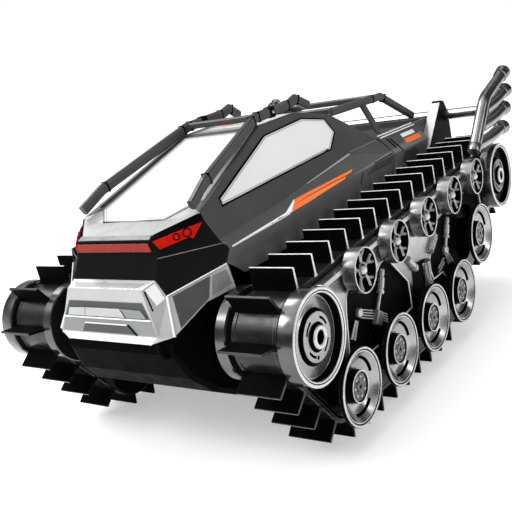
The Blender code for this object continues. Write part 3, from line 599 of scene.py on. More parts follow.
def drive_face(label, side, kind):
    """The drive wheel: deep drum, double rim ring, light dish and a slotted centre with a raised boss."""
    body = f"{kind}_wheel_{label}"
    y, z, rim = wheel_place(body)
    drum = RIDE[kind] - DRUM_GAP
    bm = bmesh.new()
    # Faces marked 2 take the near-black gap finish: the groove between the rim rings, the deep inner rim
    # wall, the grooves round the centre and the slots. It is painted shade for their depth.
    profile = [
        (WHEEL_BACK, 2.5, 1), (WHEEL_BACK, rim - 0.6, 1), (57.6, rim, 1), (62.6, rim, 1),
        (63.2, rim - 0.6, 1), (63.2, drum, 1), (91.2, drum, 1), (91.2, rim - 0.6, 1), (91.8, rim, 1),
        (99.2, rim, 1),
        (99.7, rim - 0.2, 0), (100, rim - 0.7, 0), (99.9, rim - 1.6, 2), (99.2, rim - 1.7, 2),
        (99.2, rim - 2.1, 2), (99.8, rim - 2.2, 0), (99.7, rim - 2.7, 0), (99.2, rim - 3, 2),
        (95.6, rim - 3.3, 2), (95.3, rim - 3.6, 3),
    ]
    for k in range(7):
        radius = rim - 4 - (rim - 4 - 13.3) * k / 6
        profile.append((95.2 + 1 * (k / 6) ** 2, radius, 3))
    profile += [
        (94.6, 12.8, 2), (94.6, 12.1, 2), (97.6, 11.9, 2), (97.9, 11.6, 3), (98, 11.3, 3), (98, 10.2, 3),
    ]
    inner = [
        (98, 7.6, 3), (97.9, 7, 2), (96.6, 6.7, 2), (96.6, 5.8, 2), (99.2, 5.5, 0), (99.9, 5.1, 0),
        (100, 3.7, 0), (99.4, 3.3, 2), (96.2, 3, 2), (96.2, 2.5, 2),
    ]
    ring = len(profile) - 1
    revolve(bm, (0, y, z), (side, 0, 0), profile, FINE)
    revolve(bm, (0, y, z), (side, 0, 0), inner + [(WHEEL_BACK, 2.5, 1)], FINE)
    slots = [(8.4, 9.7, s, s + 44) for s in (20, 112, 205, 292)]
    slots += [(8.4, 10.2, 252, 262)]
    radii = [profile[ring][1], 9.7, 8.4, 7.6]
    slotted_face(bm, side, y, z, 98, radii[::-1], lambda r: 0, slots, 1, index=3, slot_index=2)
    piece(f"{kind}_wheel_fine_{label}", bm, ["rim", "drum", "gap", kind], body, [body])
    bm = bmesh.new()
    for k in range(6):
        turn = TURN * (k + 0.5) / 6
        spot = (side * 97.9, y + 3.05 * cos(turn), z + 3.05 * sin(turn))
        block(bm, spot, (side, 0, 0), (0, cos(turn), sin(turn)), (2.6, 2, 0.5))
    piece(f"{kind}_hex_{label}", bm, "gap", body)


def road_face(name, label, side):
    """A road wheel: black tyre, bright rim, deep satin dish with arc slots and a bolted hub cap."""
    y, z, rim = wheel_place(f"{name}_{label}")
    drum = ride_of(name) - DRUM_GAP
    body = f"{name}_{label}"
    bm = bmesh.new()
    profile = [
        (WHEEL_BACK, 2.6, 0), (WHEEL_BACK, rim - 0.6, 0), (57.6, rim, 0), (62.6, rim, 0),
        (63.2, rim - 0.6, 0), (63.2, drum, 0), (84, drum, 0), (84.4, drum - 0.4, 0), (84.4, 10.6, 0),
        (92.6, 10.6, 0),
        (96.6, rim - 2.4, 0), (97.2, rim - 0.5, 0), (97.8, rim, 0), (99.2, rim - 0.1, 0),
        (99.6, rim - 0.3, 1), (99.9, rim - 0.7, 1), (99.9, rim - 1.1, 1), (99.6, rim - 1.4, 0),
        (98.9, rim - 1.6, 0), (98.9, rim - 1.9, 0), (99.3, rim - 2.1, 1), (99.3, rim - 2.5, 2),
    ]
    outer, inner = rim - 2.6, 8.6
    revolve(bm, (0, y, z), (side, 0, 0), profile + [(99.2, outer, 2)], FINE)
    # The slots' walls and floors take the near-black gap finish: painted shade for holes sunk only 1.4 mm.
    slots = [(rim - 6.3, rim - 4.9, s, s + 62) for s in (8, 128, 248)]
    slots += [(rim - 6.3, rim - 4.9, 100, 110)]
    radii = [inner, 9.6, 11, 12.4, rim - 6.3, rim - 4.9, rim - 3.7, outer]
    slotted_face(bm, side, y, z, 99.2, radii, lambda r: dish_depth(r, outer, inner, 5), slots, 1.4,
                 index=2, slot_index=3)
    hub = [
        (94.2, inner, 0), (93.4, 8.4, 0), (98, 8.3, 0), (98.5, 8.2, 1), (98.6, 7.8, 1), (98.4, 7.5, 0),
        (97.8, 7.3, 0), (97.6, 7, 4), (97.6, 2.9, 4), (98.3, 2.7, 4), (98.3, 1.2, 0), (97.8, 1, 0),
        (97.8, 0, 0),
    ]
    revolve(bm, (0, y, z), (side, 0, 0), hub, 64)
    revolve(bm, (0, y, z), (side, 0, 0), [(WHEEL_BACK, 2.6, 0), (95.6, 2.6, 0), (95.6, 0, 0)], FINE)
    piece(f"{name}_fine_{label}", bm, ["tyre", "rim", "dish", "gap", "hub"], body, [body])
    bm = bmesh.new()
    for k in range(7):
        turn = TURN * k / 7 + 0.3
        bolt(bm, (side * 97.5, y + 5 * cos(turn), z + 5 * sin(turn)), (side, 0, 0), 0.85, 0.8)
    piece(f"{name}_bolts_{label}", bm, "spring", body)


def roller_face(number, label, side):
    """A return roller: belt drum, hoop rim and five forked spokes round a ball hub."""
    name = f"return_roller_{number}"
    y, z, rim = wheel_place(f"{name}_{label}")
    body = f"{name}_{label}"
    drum = RIDE["return"] - DRUM_GAP
    bm = bmesh.new()
    profile = [
        (62, 2.6, 0), (62, drum, 0), (86, drum, 1), (91.2, drum, 1), (91.2, rim - 0.4, 1), (91.7, rim, 1),
        (98.3, rim, 1), (98.8, rim - 0.15, 2), (98.9, rim - 0.6, 2), (98.5, rim - 0.8, 0),
        (93.6, rim - 1, 0), (93.4, 4.6, 0), (93.4, 2.6, 0),
    ]
    revolve(bm, (0, y, z), (side, 0, 0), profile, 64, closed=True)
    hub = [(93.4, 0, 0), (93.4, 4.3, 0), (96.8, 4.2, 1), (97.2, 3.9, 1), (97, 3.3, 0), (95.8, 3, 0),
           (95.8, 2.3, 2)]
    hub += [(96.8 + 2.2 * sin(a), 2.3 * cos(a), 2) for a in (0.2, 0.5, 0.8, 1.1, 1.35)] + [(99, 0, 2)]
    revolve(bm, (0, y, z), (side, 0, 0), hub, 40)
    piece(f"{name}_fine_{label}", bm, ["tyre", "roller", "rim"], body, [body])
    bm = bmesh.new()
    for k in range(5):
        turn = TURN * k / 5 + 0.35
        def spot(radius, lean, x):
            a = turn + lean
            return (side * x, y + radius * cos(a), z + radius * sin(a))
        fork = spot(6.6, 0, 96.6)
        for end in (spot(3.9, 0, 96.4), spot(rim - 1.2, 0.24, 97.4), spot(rim - 1.2, -0.24, 97.4)):
            sweep(bm, [fork, end], flat_section(0.6, 0.7))
    piece(f"{name}_spokes_{label}", bm, "spoke", body, bevel=0.15)


# ---- belts


def wheel_line(label):
    """Every wheel of one side as (y, z, ride), in the order in which the belt meets it."""
    names = ["drive_wheel"] + [f"return_roller_{k}" for k in range(1, 6)] + ["idler_wheel"]
    names += [f"road_wheel_{k}" for k in range(5, 0, -1)]
    line = []
    for name in names:
        y, z, _ = wheel_place(f"{name}_{label}")
        line.append((y, z, ride_of(name)))
    return line


def belt_line(label, offset, step=12):
    """Points and outward normals of the belt, pushed out by an offset, as (y, z, ny, nz)."""
    wheels = [(y, z, ride + offset) for y, z, ride in wheel_line(label)]
    angles = []
    for (y1, z1, r1), (y2, z2, r2) in zip(wheels, wheels[1:] + wheels[:1]):
        length = hypot(y2 - y1, z2 - z1)
        angles.append(atan2(z2 - z1, y2 - y1) + pi / 2 - asin((r1 - r2) / length))
    points = []
    for k, (y, z, radius) in enumerate(wheels):
        turn = (angles[k - 1] - angles[k]) % TURN
        turn = 0 if turn > pi * 1.5 else turn
        count = max(1, ceil(degrees(turn) / step - 1e-6))
        for i in range(count + 1 if turn > 1e-6 else 1):
            a = angles[k - 1] - turn * i / count
            points.append((y + radius * cos(a), z + radius * sin(a), cos(a), sin(a)))
    return points


def paddle_places(label):
    """Foot of each paddle on the belt's outer face, as (y, z, ny, nz)."""
    path = belt_line(label, BELT_THICK)
    closed = path + path[:1]
    lengths = [hypot(b[0] - a[0], b[1] - a[1]) for a, b in zip(closed, closed[1:])]
    total = sum(lengths)
    places = []
    for k in range(PADDLES):
        at = (PADDLE_PHASE + k * total / PADDLES) % total
        index = 0
        while at > lengths[index]:
            at -= lengths[index]
            index += 1
        share = at / lengths[index]
        y, z, ny, nz = (a + (b - a) * share for a, b in zip(closed[index], closed[index + 1]))
        size = hypot(ny, nz)
        places.append((y, z, ny / size, nz / size))
    return places


def build_belt(label, side):
    """The belt band with raised edges, and its paddles with a thick foot."""
    inner, outer = BELT_X
    bm = bmesh.new()
    edge = [(0, 0.1), (0, 1.7), (0.3, 2.1), (1.7, 2.1), (2.2, 1.6)]
    section = [(inner + x, h) for x, h in edge] + [(outer - x, h) for x, h in reversed(edge)]
    section += [(outer - 0.3, 0), (inner + 0.3, 0)]
    path = belt_line(label, 0, 4)
    rings = []
    for y, z, ny, nz in path:
        rings.append([bm.verts.new((side * x, y + ny * h, z + nz * h)) for x, h in section])
    for ring, after in zip(rings, rings[1:] + rings[:1]):
        join(bm, ring, after)
    piece(f"belt_band_{label}", bm, "band", "root", [f"track_belt_{label}"], sharp=28)
    bm = bmesh.new()
    half = [(1.8, -0.3), (1, 1.5), (0.8, 2.2), (0.7, PADDLE_TALL)]
    shape = [(-a, h) for a, h in half] + half[::-1]
    for y, z, ny, nz in paddle_places(label):
        # Upper-run paddles take the painted highlight edge, the others the shaded copy.
        ends, edge = [], 1 if nz > UPWARD else 2
        for x in (inner, outer):
            ends.append([bm.verts.new((side * x, y + a * nz + h * ny, z - a * ny + h * nz))
                         for a, h in shape])
        for k in range(len(shape)):
            j = (k + 1) % len(shape)
            wall = bm.faces.new((ends[0][k], ends[0][j], ends[1][j], ends[1][k]))
            wall.material_index = edge if k == 3 else 0
        for index, end in enumerate(ends):
            bm.faces.new(end).material_index = index * edge
    piece(f"belt_paddles_{label}", bm, ["rubber", "paddle_edge_highlight", "paddle_edge_shade_and_scuff"], bevel=0.3,
          sharp=25)


# ---- running gear between the wheels


POCKETS = [
    [(-76, 76.1), (-81.6, 75.5), (-84.3, 72.5), (-86.2, 65.8), (-88, 53), (-90, 42.5), (-86, 36.8),
     (-46, 36.4), (-21.5, 40.7), (-14, 40.9), (-14.5, 57), (-36.8, 78.2), (-44.4, 77.4), (-52, 73),
     (-62, 73.5)],
    [(29.9, 71.4), (20.8, 63.4), (17.3, 59.6), (17.4, 52.9), (19.8, 46.4), (34.8, 46.2), (42.2, 36.6),
     (51, 36.8), (78.3, 41.8), (86.9, 47.2), (106, 59), (112, 66), (110, 78), (96, 86),
     (60, 83.5), (36, 80)],
]


def shown(points, x):
    """Slide points from the skirt's face to a plane before it, keeping their place in the main view."""
    ahead = x - SKIRT_X
    return [(y + SLIDE[0] * ahead, z + SLIDE[1] * ahead) for y, z in points]


def circle(y, z, radius):
    return [(y + a, z + b) for a, b in round_section(radius, 32)]


def cut_plate(name, outline, holes, side, low, high, look):
    """A plate with holes cut in it, as one evaluated mesh."""
    def solid(label, loop, margin):
        bm = bmesh.new()
        prism(bm, loop, side * (low - margin), side * (high + margin))
        bmesh.ops.recalc_face_normals(bm, faces=bm.faces)
        return helper(label, bm)

    target = solid(name + "_raw", outline, 0)
    for k, loop in enumerate(holes):
        step = target.modifiers.new("Cut", "BOOLEAN")
        step.operation, step.solver, step.object = "DIFFERENCE", "EXACT", solid(f"{name}_cut_{k}", loop, 1)
    bpy.context.view_layer.update()
    graph = bpy.context.evaluated_depsgraph_get()
    bm = bmesh.new()
    bm.from_mesh(bpy.data.meshes.new_from_object(target.evaluated_get(graph)))
    for item in [target] + [m.object for m in target.modifiers]:
        bpy.data.objects.remove(item)
    piece(name, bm, look, bevel=0.35)


def build_side_plate(label, side):
    """The raised plate over the skirt, cut open at its pockets and round the wheels, with white beads round
    the pockets painted as highlights on their rims.
    """
    # The skirt shows only through the pockets and the holes round the wheels; its near-black, barely
    # reflecting finish is painted shade for their depth.
    keep(f"side_skirt_{label}", "gap", 0.3)
    face = SKIRT_X + 1.7
    outline = [(y, z) for y, z, _, _ in belt_line(label, -1.2, 15)]
    pockets = [shown(pocket, face) for pocket in POCKETS]
    road_rides = (RIDE["road"], FIRST_ROAD_RIDE)
    holes = [circle(y, z, 12 if ride in road_rides else ride + 1) for y, z, ride in wheel_line(label)]
    cut_plate(f"side_plate_{label}", outline, pockets + holes, side, SKIRT_X + 0.05, face, "panel")
    # White beads round each pocket: painted highlights where light catches the rims.
    for number, pocket in enumerate(pockets):
        loop = [(side * face, y, z) for y, z in pocket]
        bead(f"pocket_rim_highlight_{number}_{label}", loop, 0.42, "white")


def turned_on(bm, start, end, profile, steps=20):
    """Turn (share of the way, radius) points between two places."""
    start, end = Vector(start), Vector(end)
    length = (end - start).length
    revolve(bm, start, end - start, [(a * length, r) for a, r in [(0, 0), *profile, (1, 0)]], steps)


def build_damper(name, side, line):
    """A shock absorber: cylinder body, collar and a thinner polished rod."""
    a, b, c = (Vector((side * LINK_X, y, z)) for y, z in shown(line, LINK_X))
    body = [(0, 0.7), (0.06, 1), (0.3, 1), (0.32, 0.8), (0.4, 0.8), (0.42, 1.15), (0.9, 1.15), (0.94, 0.9),
            (1, 0.9)]
    rod, neck = [(0, 0.6), (1, 0.6)], [(0, 1.3), (1, 1.3)]
    bm = bmesh.new()
    for start, end, profile in ((a, b, body), (b, c, rod), (b, b.lerp(c, 0.16), neck)):
        turned_on(bm, start, end, [(share, r * 1.6) for share, r in profile])
    piece(name, bm, "spring", sharp=40)


def build_spring(name, side, start, end):
    """A coil spring round its rod."""
    a, b = (Vector((side * SPRING_X, y, z)) for y, z in shown([start, end], SPRING_X))
    across = Vector((1, 0, 0))
    up = (b - a).normalized().cross(across)
    steps, turns, radius = 14, 7, 2.6
    line = []
    for k in range(turns * steps + 1):
        t = TURN * k / steps
        line.append(a.lerp(b, k / (turns * steps)) + (across * cos(t) + up * sin(t)) * radius)
    bm = bmesh.new()
    sweep(bm, line, round_section(0.55, 8))
    turned_on(bm, a, b, [(0, radius * 0.45), (1, radius * 0.45)])
    piece(name, bm, "spring", sharp=50)


def build_running_gear(label, side):
    """Dampers, spring, cooling can, links and finned blocks in the pockets."""
    build_damper(f"damper_front_{label}", side, [(-43.4, 74), (-48.2, 63.5), (-55.1, 54.3)])
    build_damper(f"damper_rear_{label}", side, [(51.2, 77), (46.7, 66.2), (43.1, 58.3)])
    build_spring(f"trough_spring_{label}", side, (27.2, 71.6), (17.8, 64.8))
    x = side * SPRING_X
    bm = bmesh.new()
    block(bm, (x, -57.4, 51.2), (0, -0.55, -0.83), (side, 0, 0), (7.6, 6.2, 3))
    for y, z, tall, radius, rim in ((-75, 60.8, 2.4, 2.5, 2.1), (41.6, 58.4, 2.6, 2.8, 2.3)):
        foot, top = (side * 88.2, y, z), (side * (88.2 + tall), y, z)
        turned_on(bm, foot, top, [(0, radius), (0.8, radius), (1, rim)], 28)
    piece(f"brackets_{label}", bm, "spring", bevel=0.35)
    bm = bmesh.new()
    for k in range(4):
        rise = 2.2 - 1.5 * k
        fins = [[(-73, 59.8 + rise), (-60, 54.2 + rise)], [(-53, 51 + rise), (-45.2, 46.6 + rise)],
                [(43.6 + rise, 56), (48.4 + rise * 1.6, 48)]]
        for fin in fins:
            sweep(bm, [(x, y, z) for y, z in shown(fin, SPRING_X)], round_section(0.42, 8))
    for shift in (0, 2.6):
        bars = [[(-78.4 + shift * 0.6, 58 - shift * 0.3), (-85.2 + shift, 50.6 - shift * 0.6)],
                [(38.4, 53.8 - shift), (28.8, 50.2 - shift)]]
        for bar in bars:
            sweep(bm, [(x, y, z) for y, z in shown(bar, SPRING_X)], flat_section(0.5, 0.5))
    piece(f"links_{label}", bm, "spring", sharp=50)
    can = [(0, 4.3), (0.1, 4.3), (0.1, 3.7), (0.74, 3.7), (0.74, 4.4), (0.86, 4.4), (0.86, 4), (1, 4)]
    tube = [(0, 2.2), (0.7, 2.2), (0.7, 2.6), (0.82, 2.6), (0.82, 2.2), (1, 1.9)]
    cans = (("cooler", "mesh", 89.6, (7, 62.4), (7.6, 44.8), can, 32),
            ("cylinder", "spring", 90.6, (-15.6, 70.4), (-6.4, 61.6), tube, 24))
    for name, look, x, start, end, profile, steps in cans:
        bm = bmesh.new()
        turned_on(bm, (side * x, *start), (side * x, *end), profile, steps)
        piece(f"{name}_{label}", bm, look)
    bm = bmesh.new()
    bay = [(-10.2, 66), (3, 63.6), (12.4, 62), (13.6, 45), (-5, 43.6), (-11.4, 46.6)]
    prism(bm, bay, side * (SKIRT_X + 1.6), side * (SKIRT_X + 2.1))
    piece(f"cooler_bay_{label}", bm, "gap")


def build_top_rail(label, side):
    """A bright ledge just under the belt's top run, between each wheel and the next."""
    outer, inner = belt_line(label, -0.9, 15), belt_line(label, -3.2, 15)
    runs = [run for run in zip(outer, outer[1:], inner, inner[1:]) if dist(run[0][:2], run[1][:2]) > 15][:6]
    bm = bmesh.new()
    for number, (a, b, c, d) in enumerate(runs):
        length = dist(a[:2], b[:2])
        start = (END_GAP if number == 0 else ROLLER_GAP) / length
        stop = 1 - (END_GAP if number == 5 else ROLLER_GAP) / length
        if stop - start < 0.1:
            continue
        corners = [(a, b, start), (a, b, stop), (c, d, stop), (c, d, start)]
        outline = [[p[i] + (q[i] - p[i]) * t for i in (0, 1)] for p, q, t in corners]
        prism(bm, outline, side * (SKIRT_X + 0.1), side * LEDGE_X)
    piece(f"top_rail_{label}", bm, "dish", bevel=0.4)


# ---- body trim


def trim_line(name, points, look, radius=0.35):
    bead(name, points, radius, look, closed=False)


def build_nose():
    """Grille recess, slats, raised panels and bright edges on the nose plate."""
    keep("nose_plate", "silver", 0.35)
    shapes = {
        "grille_recess": ("slate", 0.1, [(-25.3, 95), (25.3, 95), (29.6, 87.2), (-29.6, 87.2)]),
        "grille_slat_a": ("silver", 0.9, [(-24.9, 91.4), (-13.4, 91.8), (-14.1, 87.8), (-26.2, 87.8)]),
        "grille_slat_b": ("silver", 0.9, [(-12.9, 91.8), (10.5, 91.8), (13.5, 87.8), (-13.7, 87.8)]),
        # The right slat takes the darker silver copy: painted shade.
        "grille_slat_c": ("silver_dark", 0.9, [(11.6, 91.8), (24.3, 91.4), (27.4, 87.8), (14.9, 87.8)]),
        "bumper_panel_low": ("silver_dark", 0.15,
                             [(-29.9, 86.4), (29.9, 86.4), (32.4, 79.6), (-32.4, 79.6)]),
        "grille_ledge": ("white", 0.8, [(-29.7, 87.3), (29.7, 87.3), (30, 86.6), (-30, 86.6)]),
        "bumper_panel": ("slate", 0.45, [(-14.8, 84), (14, 84), (19.4, 79.8), (-17.4, 79.8)]),
        "bumper_step": ("white", 0.6, [(-14.9, 84.5), (14, 84.5), (14.3, 84), (-15, 84)]),
        "bumper_slash": ("gap", 0.6, [(14.1, 84.3), (15.2, 84.3), (20.8, 79.6), (19.6, 79.6)]),
        "bumper_lip": ("white", 0.25, [(-32.6, 79.2), (32.6, 79.2), (28.4, 75.6), (-28.4, 75.6)]),
    }
    for name, (look, thick, outline) in shapes.items():
        decal(name, outline, "nose_plate", look, "front", 1, thick)
    for label, side in SIDES:
        trims = {
            "chin_corner": ("white", 0.15, [(26.6, 100.4), (28.6, 101.9), (33, 94.7), (31, 92.6)]),
            "chin_gap": ("gap", 0.1, [(26.4, 99.9), (26.8, 100), (30.4, 90.8), (30, 90.8)]),
            "wing_panel": ("slate", 0.25, [(35.2, 94.9), (48.2, 100.4), (48.4, 90.8), (40.8, 81)]),
            "wing_tip": ("silver_dark", 0.2, [(48.9, 100.2), (53.7, 101.9), (54.8, 94.4), (49.2, 91.4)]),
        }
        for name, (look, thick, outline) in trims.items():
            decal(f"{name}_{label}", outline, "nose_plate", look, "front", side, thick)
        wing_line = mirrored([(33.5, -150.6, 95.5), (54, -128, 104.3)], side)
        trim_line(f"wing_edge_{label}", wing_line, "white", 0.32)
        root_line = mirrored([(33.5, -150.5, 95.4), (39.5, -157.2, 78.2)], side)
        trim_line(f"wing_root_{label}", root_line, "white", 0.6)
    decal("nose_crescent", [(-24.5, -153.4), (24.5, -153.4), (21, -156.6), (-21, -156.6)], "nose_plate",
          "silver_dark", "top", 1, 0.15)
    bm = bmesh.new()
    path = [(29, -158, 75.6), (29.4, -159, 70), (31.4, -157.6, 66.4), (32.6, -155, 67.4)]
    sweep(bm, rounded(path, 1.6), round_section(1, 10))
    piece("tow_hook", bm, "frame", sharp=50)


def build_front():
    """Brow, lamps and the mask's creases."""
    keep("front_mask", "mask", 0.4)
    keep("cowl", "cowl", 0.4)
    keep("light_bar", "strip", 0.2)
    brow = [(-24.4, -142.6, 122.7), (24.4, -142.6, 122.7), (24.9, -145.1, 121.2), (-24.9, -145.1, 121.2)]
    film("brow_strip", brow, "brow", 0.35, bevel=0.12)
    for label, side in SIDES:
        keep(f"headlight_{label}", "red", 0.2)
        corner = [(25.2, -142.1, 122.9), (40.4, -124.8, 128.2), (41.6, -125.1, 125.1), (25.9, -144.8, 121.1)]
        film(f"brow_side_{label}", mirrored(corner, side), "gap", 0.3, 0.02)
        bm = bmesh.new()
        for (x, y, z), radius in (((34.4, -137, 120.3), 1.7), ((38, -133, 121.1), 2.2)):
            spot, normal, _, _ = surface_of(f"headlight_{label}").find_nearest(Vector((x * side, y, z)))
            ring = [(-0.2, radius - 0.45), (0.35, radius - 0.45), (0.5, radius - 0.2), (0.35, radius),
                    (-0.2, radius)]
            revolve(bm, spot, normal, ring, 28, closed=True)
            lens = [(0, 0, 1), (0, radius - 0.5, 1), (0.25, radius - 0.6, 1), (0.42, radius * 0.3, 1)]
            revolve(bm, spot, normal, lens + [(0.45, 0, 1)], 28)
        piece(f"lamp_rings_{label}", bm, ["gap", "red"])
        crease = mirrored([(28, -145.8, 112.3), (55, -126.6, 114.2)], side)
        trim_line(f"mask_crease_{label}", crease, "brow", 0.2)


def build_glass():
    """Windscreen, roof and side windows with their seals and inner lines."""
    keep("windscreen", "glass", 0.15)
    keep("roof_panel", "roof", 0.3)
    screen = outline_of("windscreen", (0, -0.35, 0.93))
    glazed("windscreen_seal", screen, 0.1, 0.4, "silver_dark", 0.1)
    glazed("windscreen_line", screen, 1.7, 0.16, "silver_dark", 0.05)
    for label, side in SIDES:
        keep(f"side_window_{label}", "glass", 0.15)
        window = outline_of(f"side_window_{label}", (side * 0.88, -0.04, 0.47))
        glazed(f"window_seal_{label}", window, 0.1, 0.42, "gap", 0.1)
        glazed(f"window_line_{label}", window, 1.3, 0.16, "silver_dark", 0.05)
        gutter = [(34.9, -115.5, 132.6), (26.2, -52, 156.6), (27.4, -51.4, 156.9), (36.6, -115.5, 131.6)]
        film(f"gutter_{label}", mirrored(gutter, side), "silver", 0.35, 0.2, bevel=0.15)
    for k, y in enumerate((-30, -18)):
        z = 158.35 + (y + 30) * 0.045
        rib = [(-20, y, z), (20, y, z), (20, y + 0.7, z), (-20, y + 0.7, z)]
        film(f"roof_rib_{k}", rib, "silver_dark")
    flash = [(-17.4, -25.5, 158.62), (-15.1, -20.3, 158.85), (-12, -14.5, 159.12), (4, -19.9, 158.87),
             (-2.7, -23, 158.73), (-6, -27, 158.55)]
    film("roof_flash", flash, "orange", 0.16, 0.04)


def build_cab():
    """Cab shell with its painted stripes, creases and panel lines."""
    keep("cab_shell", "shell", 0.45)
    stripes = {
        "shoulder_line": ("white", [(-124, 111), (-76.4, 113.7), (-60.5, 118.2), (-61.3, 118.2),
                                    (-77.5, 115), (-124, 111.7)]),
        "flash_low": ("orange", [(-75.4, 114.4), (-15.3, 118.7), (-12.9, 119.6), (-51.1, 117.48),
                                 (-67.7, 116.3)]),
        "flash_high": ("orange", [(-67.7, 116.3), (-51.1, 117.75), (-12.9, 119.9), (-4, 120.4),
                                  (-0.8, 121.5), (-60, 118.2)]),
        "crease_stripe": ("cowl", [(-40, 122.1), (13, 127.9), (13.4, 128.9), (-40, 122.5)]),
        "crease_front": ("brow", [(-61, 119.7), (-40.2, 122.1), (-40.2, 122.4), (-61, 120)]),
        "crease_rear": ("brow", [(14.4, 128.9), (48, 130), (48, 130.5), (14.4, 129.6)]),
        "door_seam": ("gap", [(6, 117.4), (6.8, 117.4), (6.6, 110.4), (5.8, 110.4)]),
    }
    for label, side in SIDES:
        for name, (look, outline) in stripes.items():
            decal(f"{name}_{label}", outline, "cab_shell", look, "side", side)
        for k in range(5):
            z = 114.6 + 1.25 * k
            outline = [(14 + 2 * k, z), (49, z + 0.9), (49, z + 1.35), (14 + 2 * k, z + 0.4)]
            decal(f"side_groove_{k}_{label}", outline, "cab_shell", "gap", "side", side, 0.1, 0.02)


RAIL = [(38.2, -126, 132.6), (36.2, -111.7, 140.4), (24.8, -45, 162.2), (25, -9, 164.4),
        (25, -2, 166.6), (26.5, 9, 161.2)]
CLAMP_SHARE = 0.42
RACK = [(33.2, 25, 153.8), (36, 88, 154.4), (39.6, 127.5, 134.8)]


def collar(bm, line, run, share, sizes):
    """A band round a bar, at a share of one of its runs."""
    a, b = Vector(line[run]), Vector(line[run + 1])
    block(bm, a.lerp(b, share), b - a, (0, 0, 1), sizes)


def build_cage():
    """Roll cage and rear rack, with joint bands, clamps and bolts."""
    keep("front_cage", "cage", 0.5)
    keep("rear_rack", "cage", 0.5)
    for label, side in SIDES:
        rail, rack = mirrored(RAIL, side), mirrored(RACK, side)
        bm = bmesh.new()
        for run, share in ((1, 0.05), (1, 0.94), (2, 0.06), (2, 0.93), (4, 0.12)):
            collar(bm, rail, run, share, (0.9, 4.5, 6))
        collar(bm, rack, 0, 0.8, (0.9, 4.5, 5.5))
        collar(bm, rack, 1, 0.08, (0.9, 4.5, 5.5))
        piece(f"cage_joints_{label}", bm, "gap", bevel=0.15)
        bm = bmesh.new()
        collar(bm, rail, 2, CLAMP_SHARE, (5, 4.8, 6.2))
        piece(f"cage_clamps_{label}", bm, "frame", bevel=0.35)
        bm = bmesh.new()
        clamp = Vector(rail[2]).lerp(Vector(rail[3]), CLAMP_SHARE)
        bolt(bm, clamp + Vector((side * 2.4, 0, 0)), (side, 0, 0), 1.1, 0.7)
        piece(f"cage_bolts_{label}", bm, "steel")


def build_rear():
    """Load bed, fins, spoiler bar and the bed's trim."""
    keep("cargo_bed", "shell", 0.45)
    for label, side in SIDES:
        keep(f"spoiler_fin_{label}", "mask", 0.5)
        for k, (x, z) in enumerate(((48, 131.9), (49.9, 130.7))):
            line = [(side * x, 53, z), (side * x, 106, z)]
            trim_line(f"bed_rail_{k}_{label}", line, "white", 0.5)
        marks = {
            "bed_plate": ("cage", [(66, 119), (84, 119), (92, 113.6), (89, 108.2), (76, 107.4),
                                   (67, 112.4)]),
            "bed_bar_white": ("white", [(79, 128.4), (99, 128.4), (98, 126.2), (78, 126.2)]),
            "bed_bar_orange": ("orange", [(77, 125.2), (101, 125.2), (100, 122.4), (76, 122.4)]),
            "bed_slot_a": ("gap", [(58.4, 129), (60, 129), (60, 122.6), (58.4, 122.6)]),
            "bed_slot_b": ("gap", [(62.4, 128.4), (64, 128.4), (64.6, 119.4), (63.2, 119.4)]),
        }
        for name, (look, outline) in marks.items():
            thick = 0.5 if name == "bed_plate" else 0.16
            decal(f"{name}_{label}", outline, "cargo_bed", look, "side", side, thick)
        face = [(49, 112.6, 111.6), (56.3, 112.6, 111.6), (56.3, 141, 140.2), (49, 141, 140.2)]
        film(f"fin_face_{label}", mirrored(face, side), "cowl", 0.3, 0.05, bevel=0.12)
    low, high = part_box("spoiler_bar")
    y, z = (low.y + high.y) / 2 / MM, (low.z + high.z) / 2 / MM
    bm = bmesh.new()
    ends = [(-92, 0), (-92, 3.2), (-91.4, 3.8), (-60, 3.8), (-60, 3.5), (-58.6, 3.5), (-58.6, 3.8)]
    profile = ends + [(-a, r) for a, r in reversed(ends)]
    revolve(bm, (0, y, z), (1, 0, 0), profile, 32)
    piece("spoiler_tube", bm, "dish", "root", ["spoiler_bar"])


EXHAUST_X = 98
MOUTHS = [(145.5, 116.8), (152.5, 129.4), (158.1, 141), (158.1, 153.4)]
BRANCHES = [(90.5, 114), (102, 124.6), (112, 134.2), (116.5, 141.4)]


def build_exhaust(label, side):
    """Riser with three branches, all smoothly bent, and rolled collars at the mouths, each closed a little
    way in by a disc painted black as the shade of the bore.
    """
    x = side * EXHAUST_X
    foot, bend = Vector((x, 86.5, 111)), Vector((x, *BRANCHES[-1]))
    bm = bmesh.new()
    # Faces marked 1 line the mouth and close it 2 mm in: painted shade for the bore.
    roll = [(-6, 3.6, 0), (-5.6, 4.7, 0), (-4.4, 4.8, 0), (-4, 4.3, 0), (0.2, 4.4, 0), (1.4, 5.1, 0),
            (2.4, 5.2, 0), (3, 4.8, 0), (3, 4, 0), (2.4, 3.4, 1), (-2, 3, 1), (-2, 0, 1)]
    for root, mouth in zip(BRANCHES, MOUTHS):
        a, b = Vector((x, *root)), Vector((x, *mouth))
        way = (b - a).normalized()
        if a == bend:
            sweep(bm, rounded([foot, bend, b - way * 1.5], 6, 6), round_section(3.95, 20))
        else:
            middle = a.lerp(b, 0.45) + Vector((0, 1.2, -1.2))
            sweep(bm, rounded([a, middle, b - way * 1.5], 10, 8), round_section(4.2, 20))
        revolve(bm, b, way, roll, 28)
    collar_line = [(0.4, 0), (0.4, 4.2), (4, 4.4), (4.6, 4.1), (5.4, 4.1), (6, 3.5)]
    revolve(bm, foot, bend - foot, collar_line, 28)
    piece(f"exhaust_pipes_{label}", bm, ["chrome", "bore"], "root", [f"exhaust_{label}"],
          sharp=45)


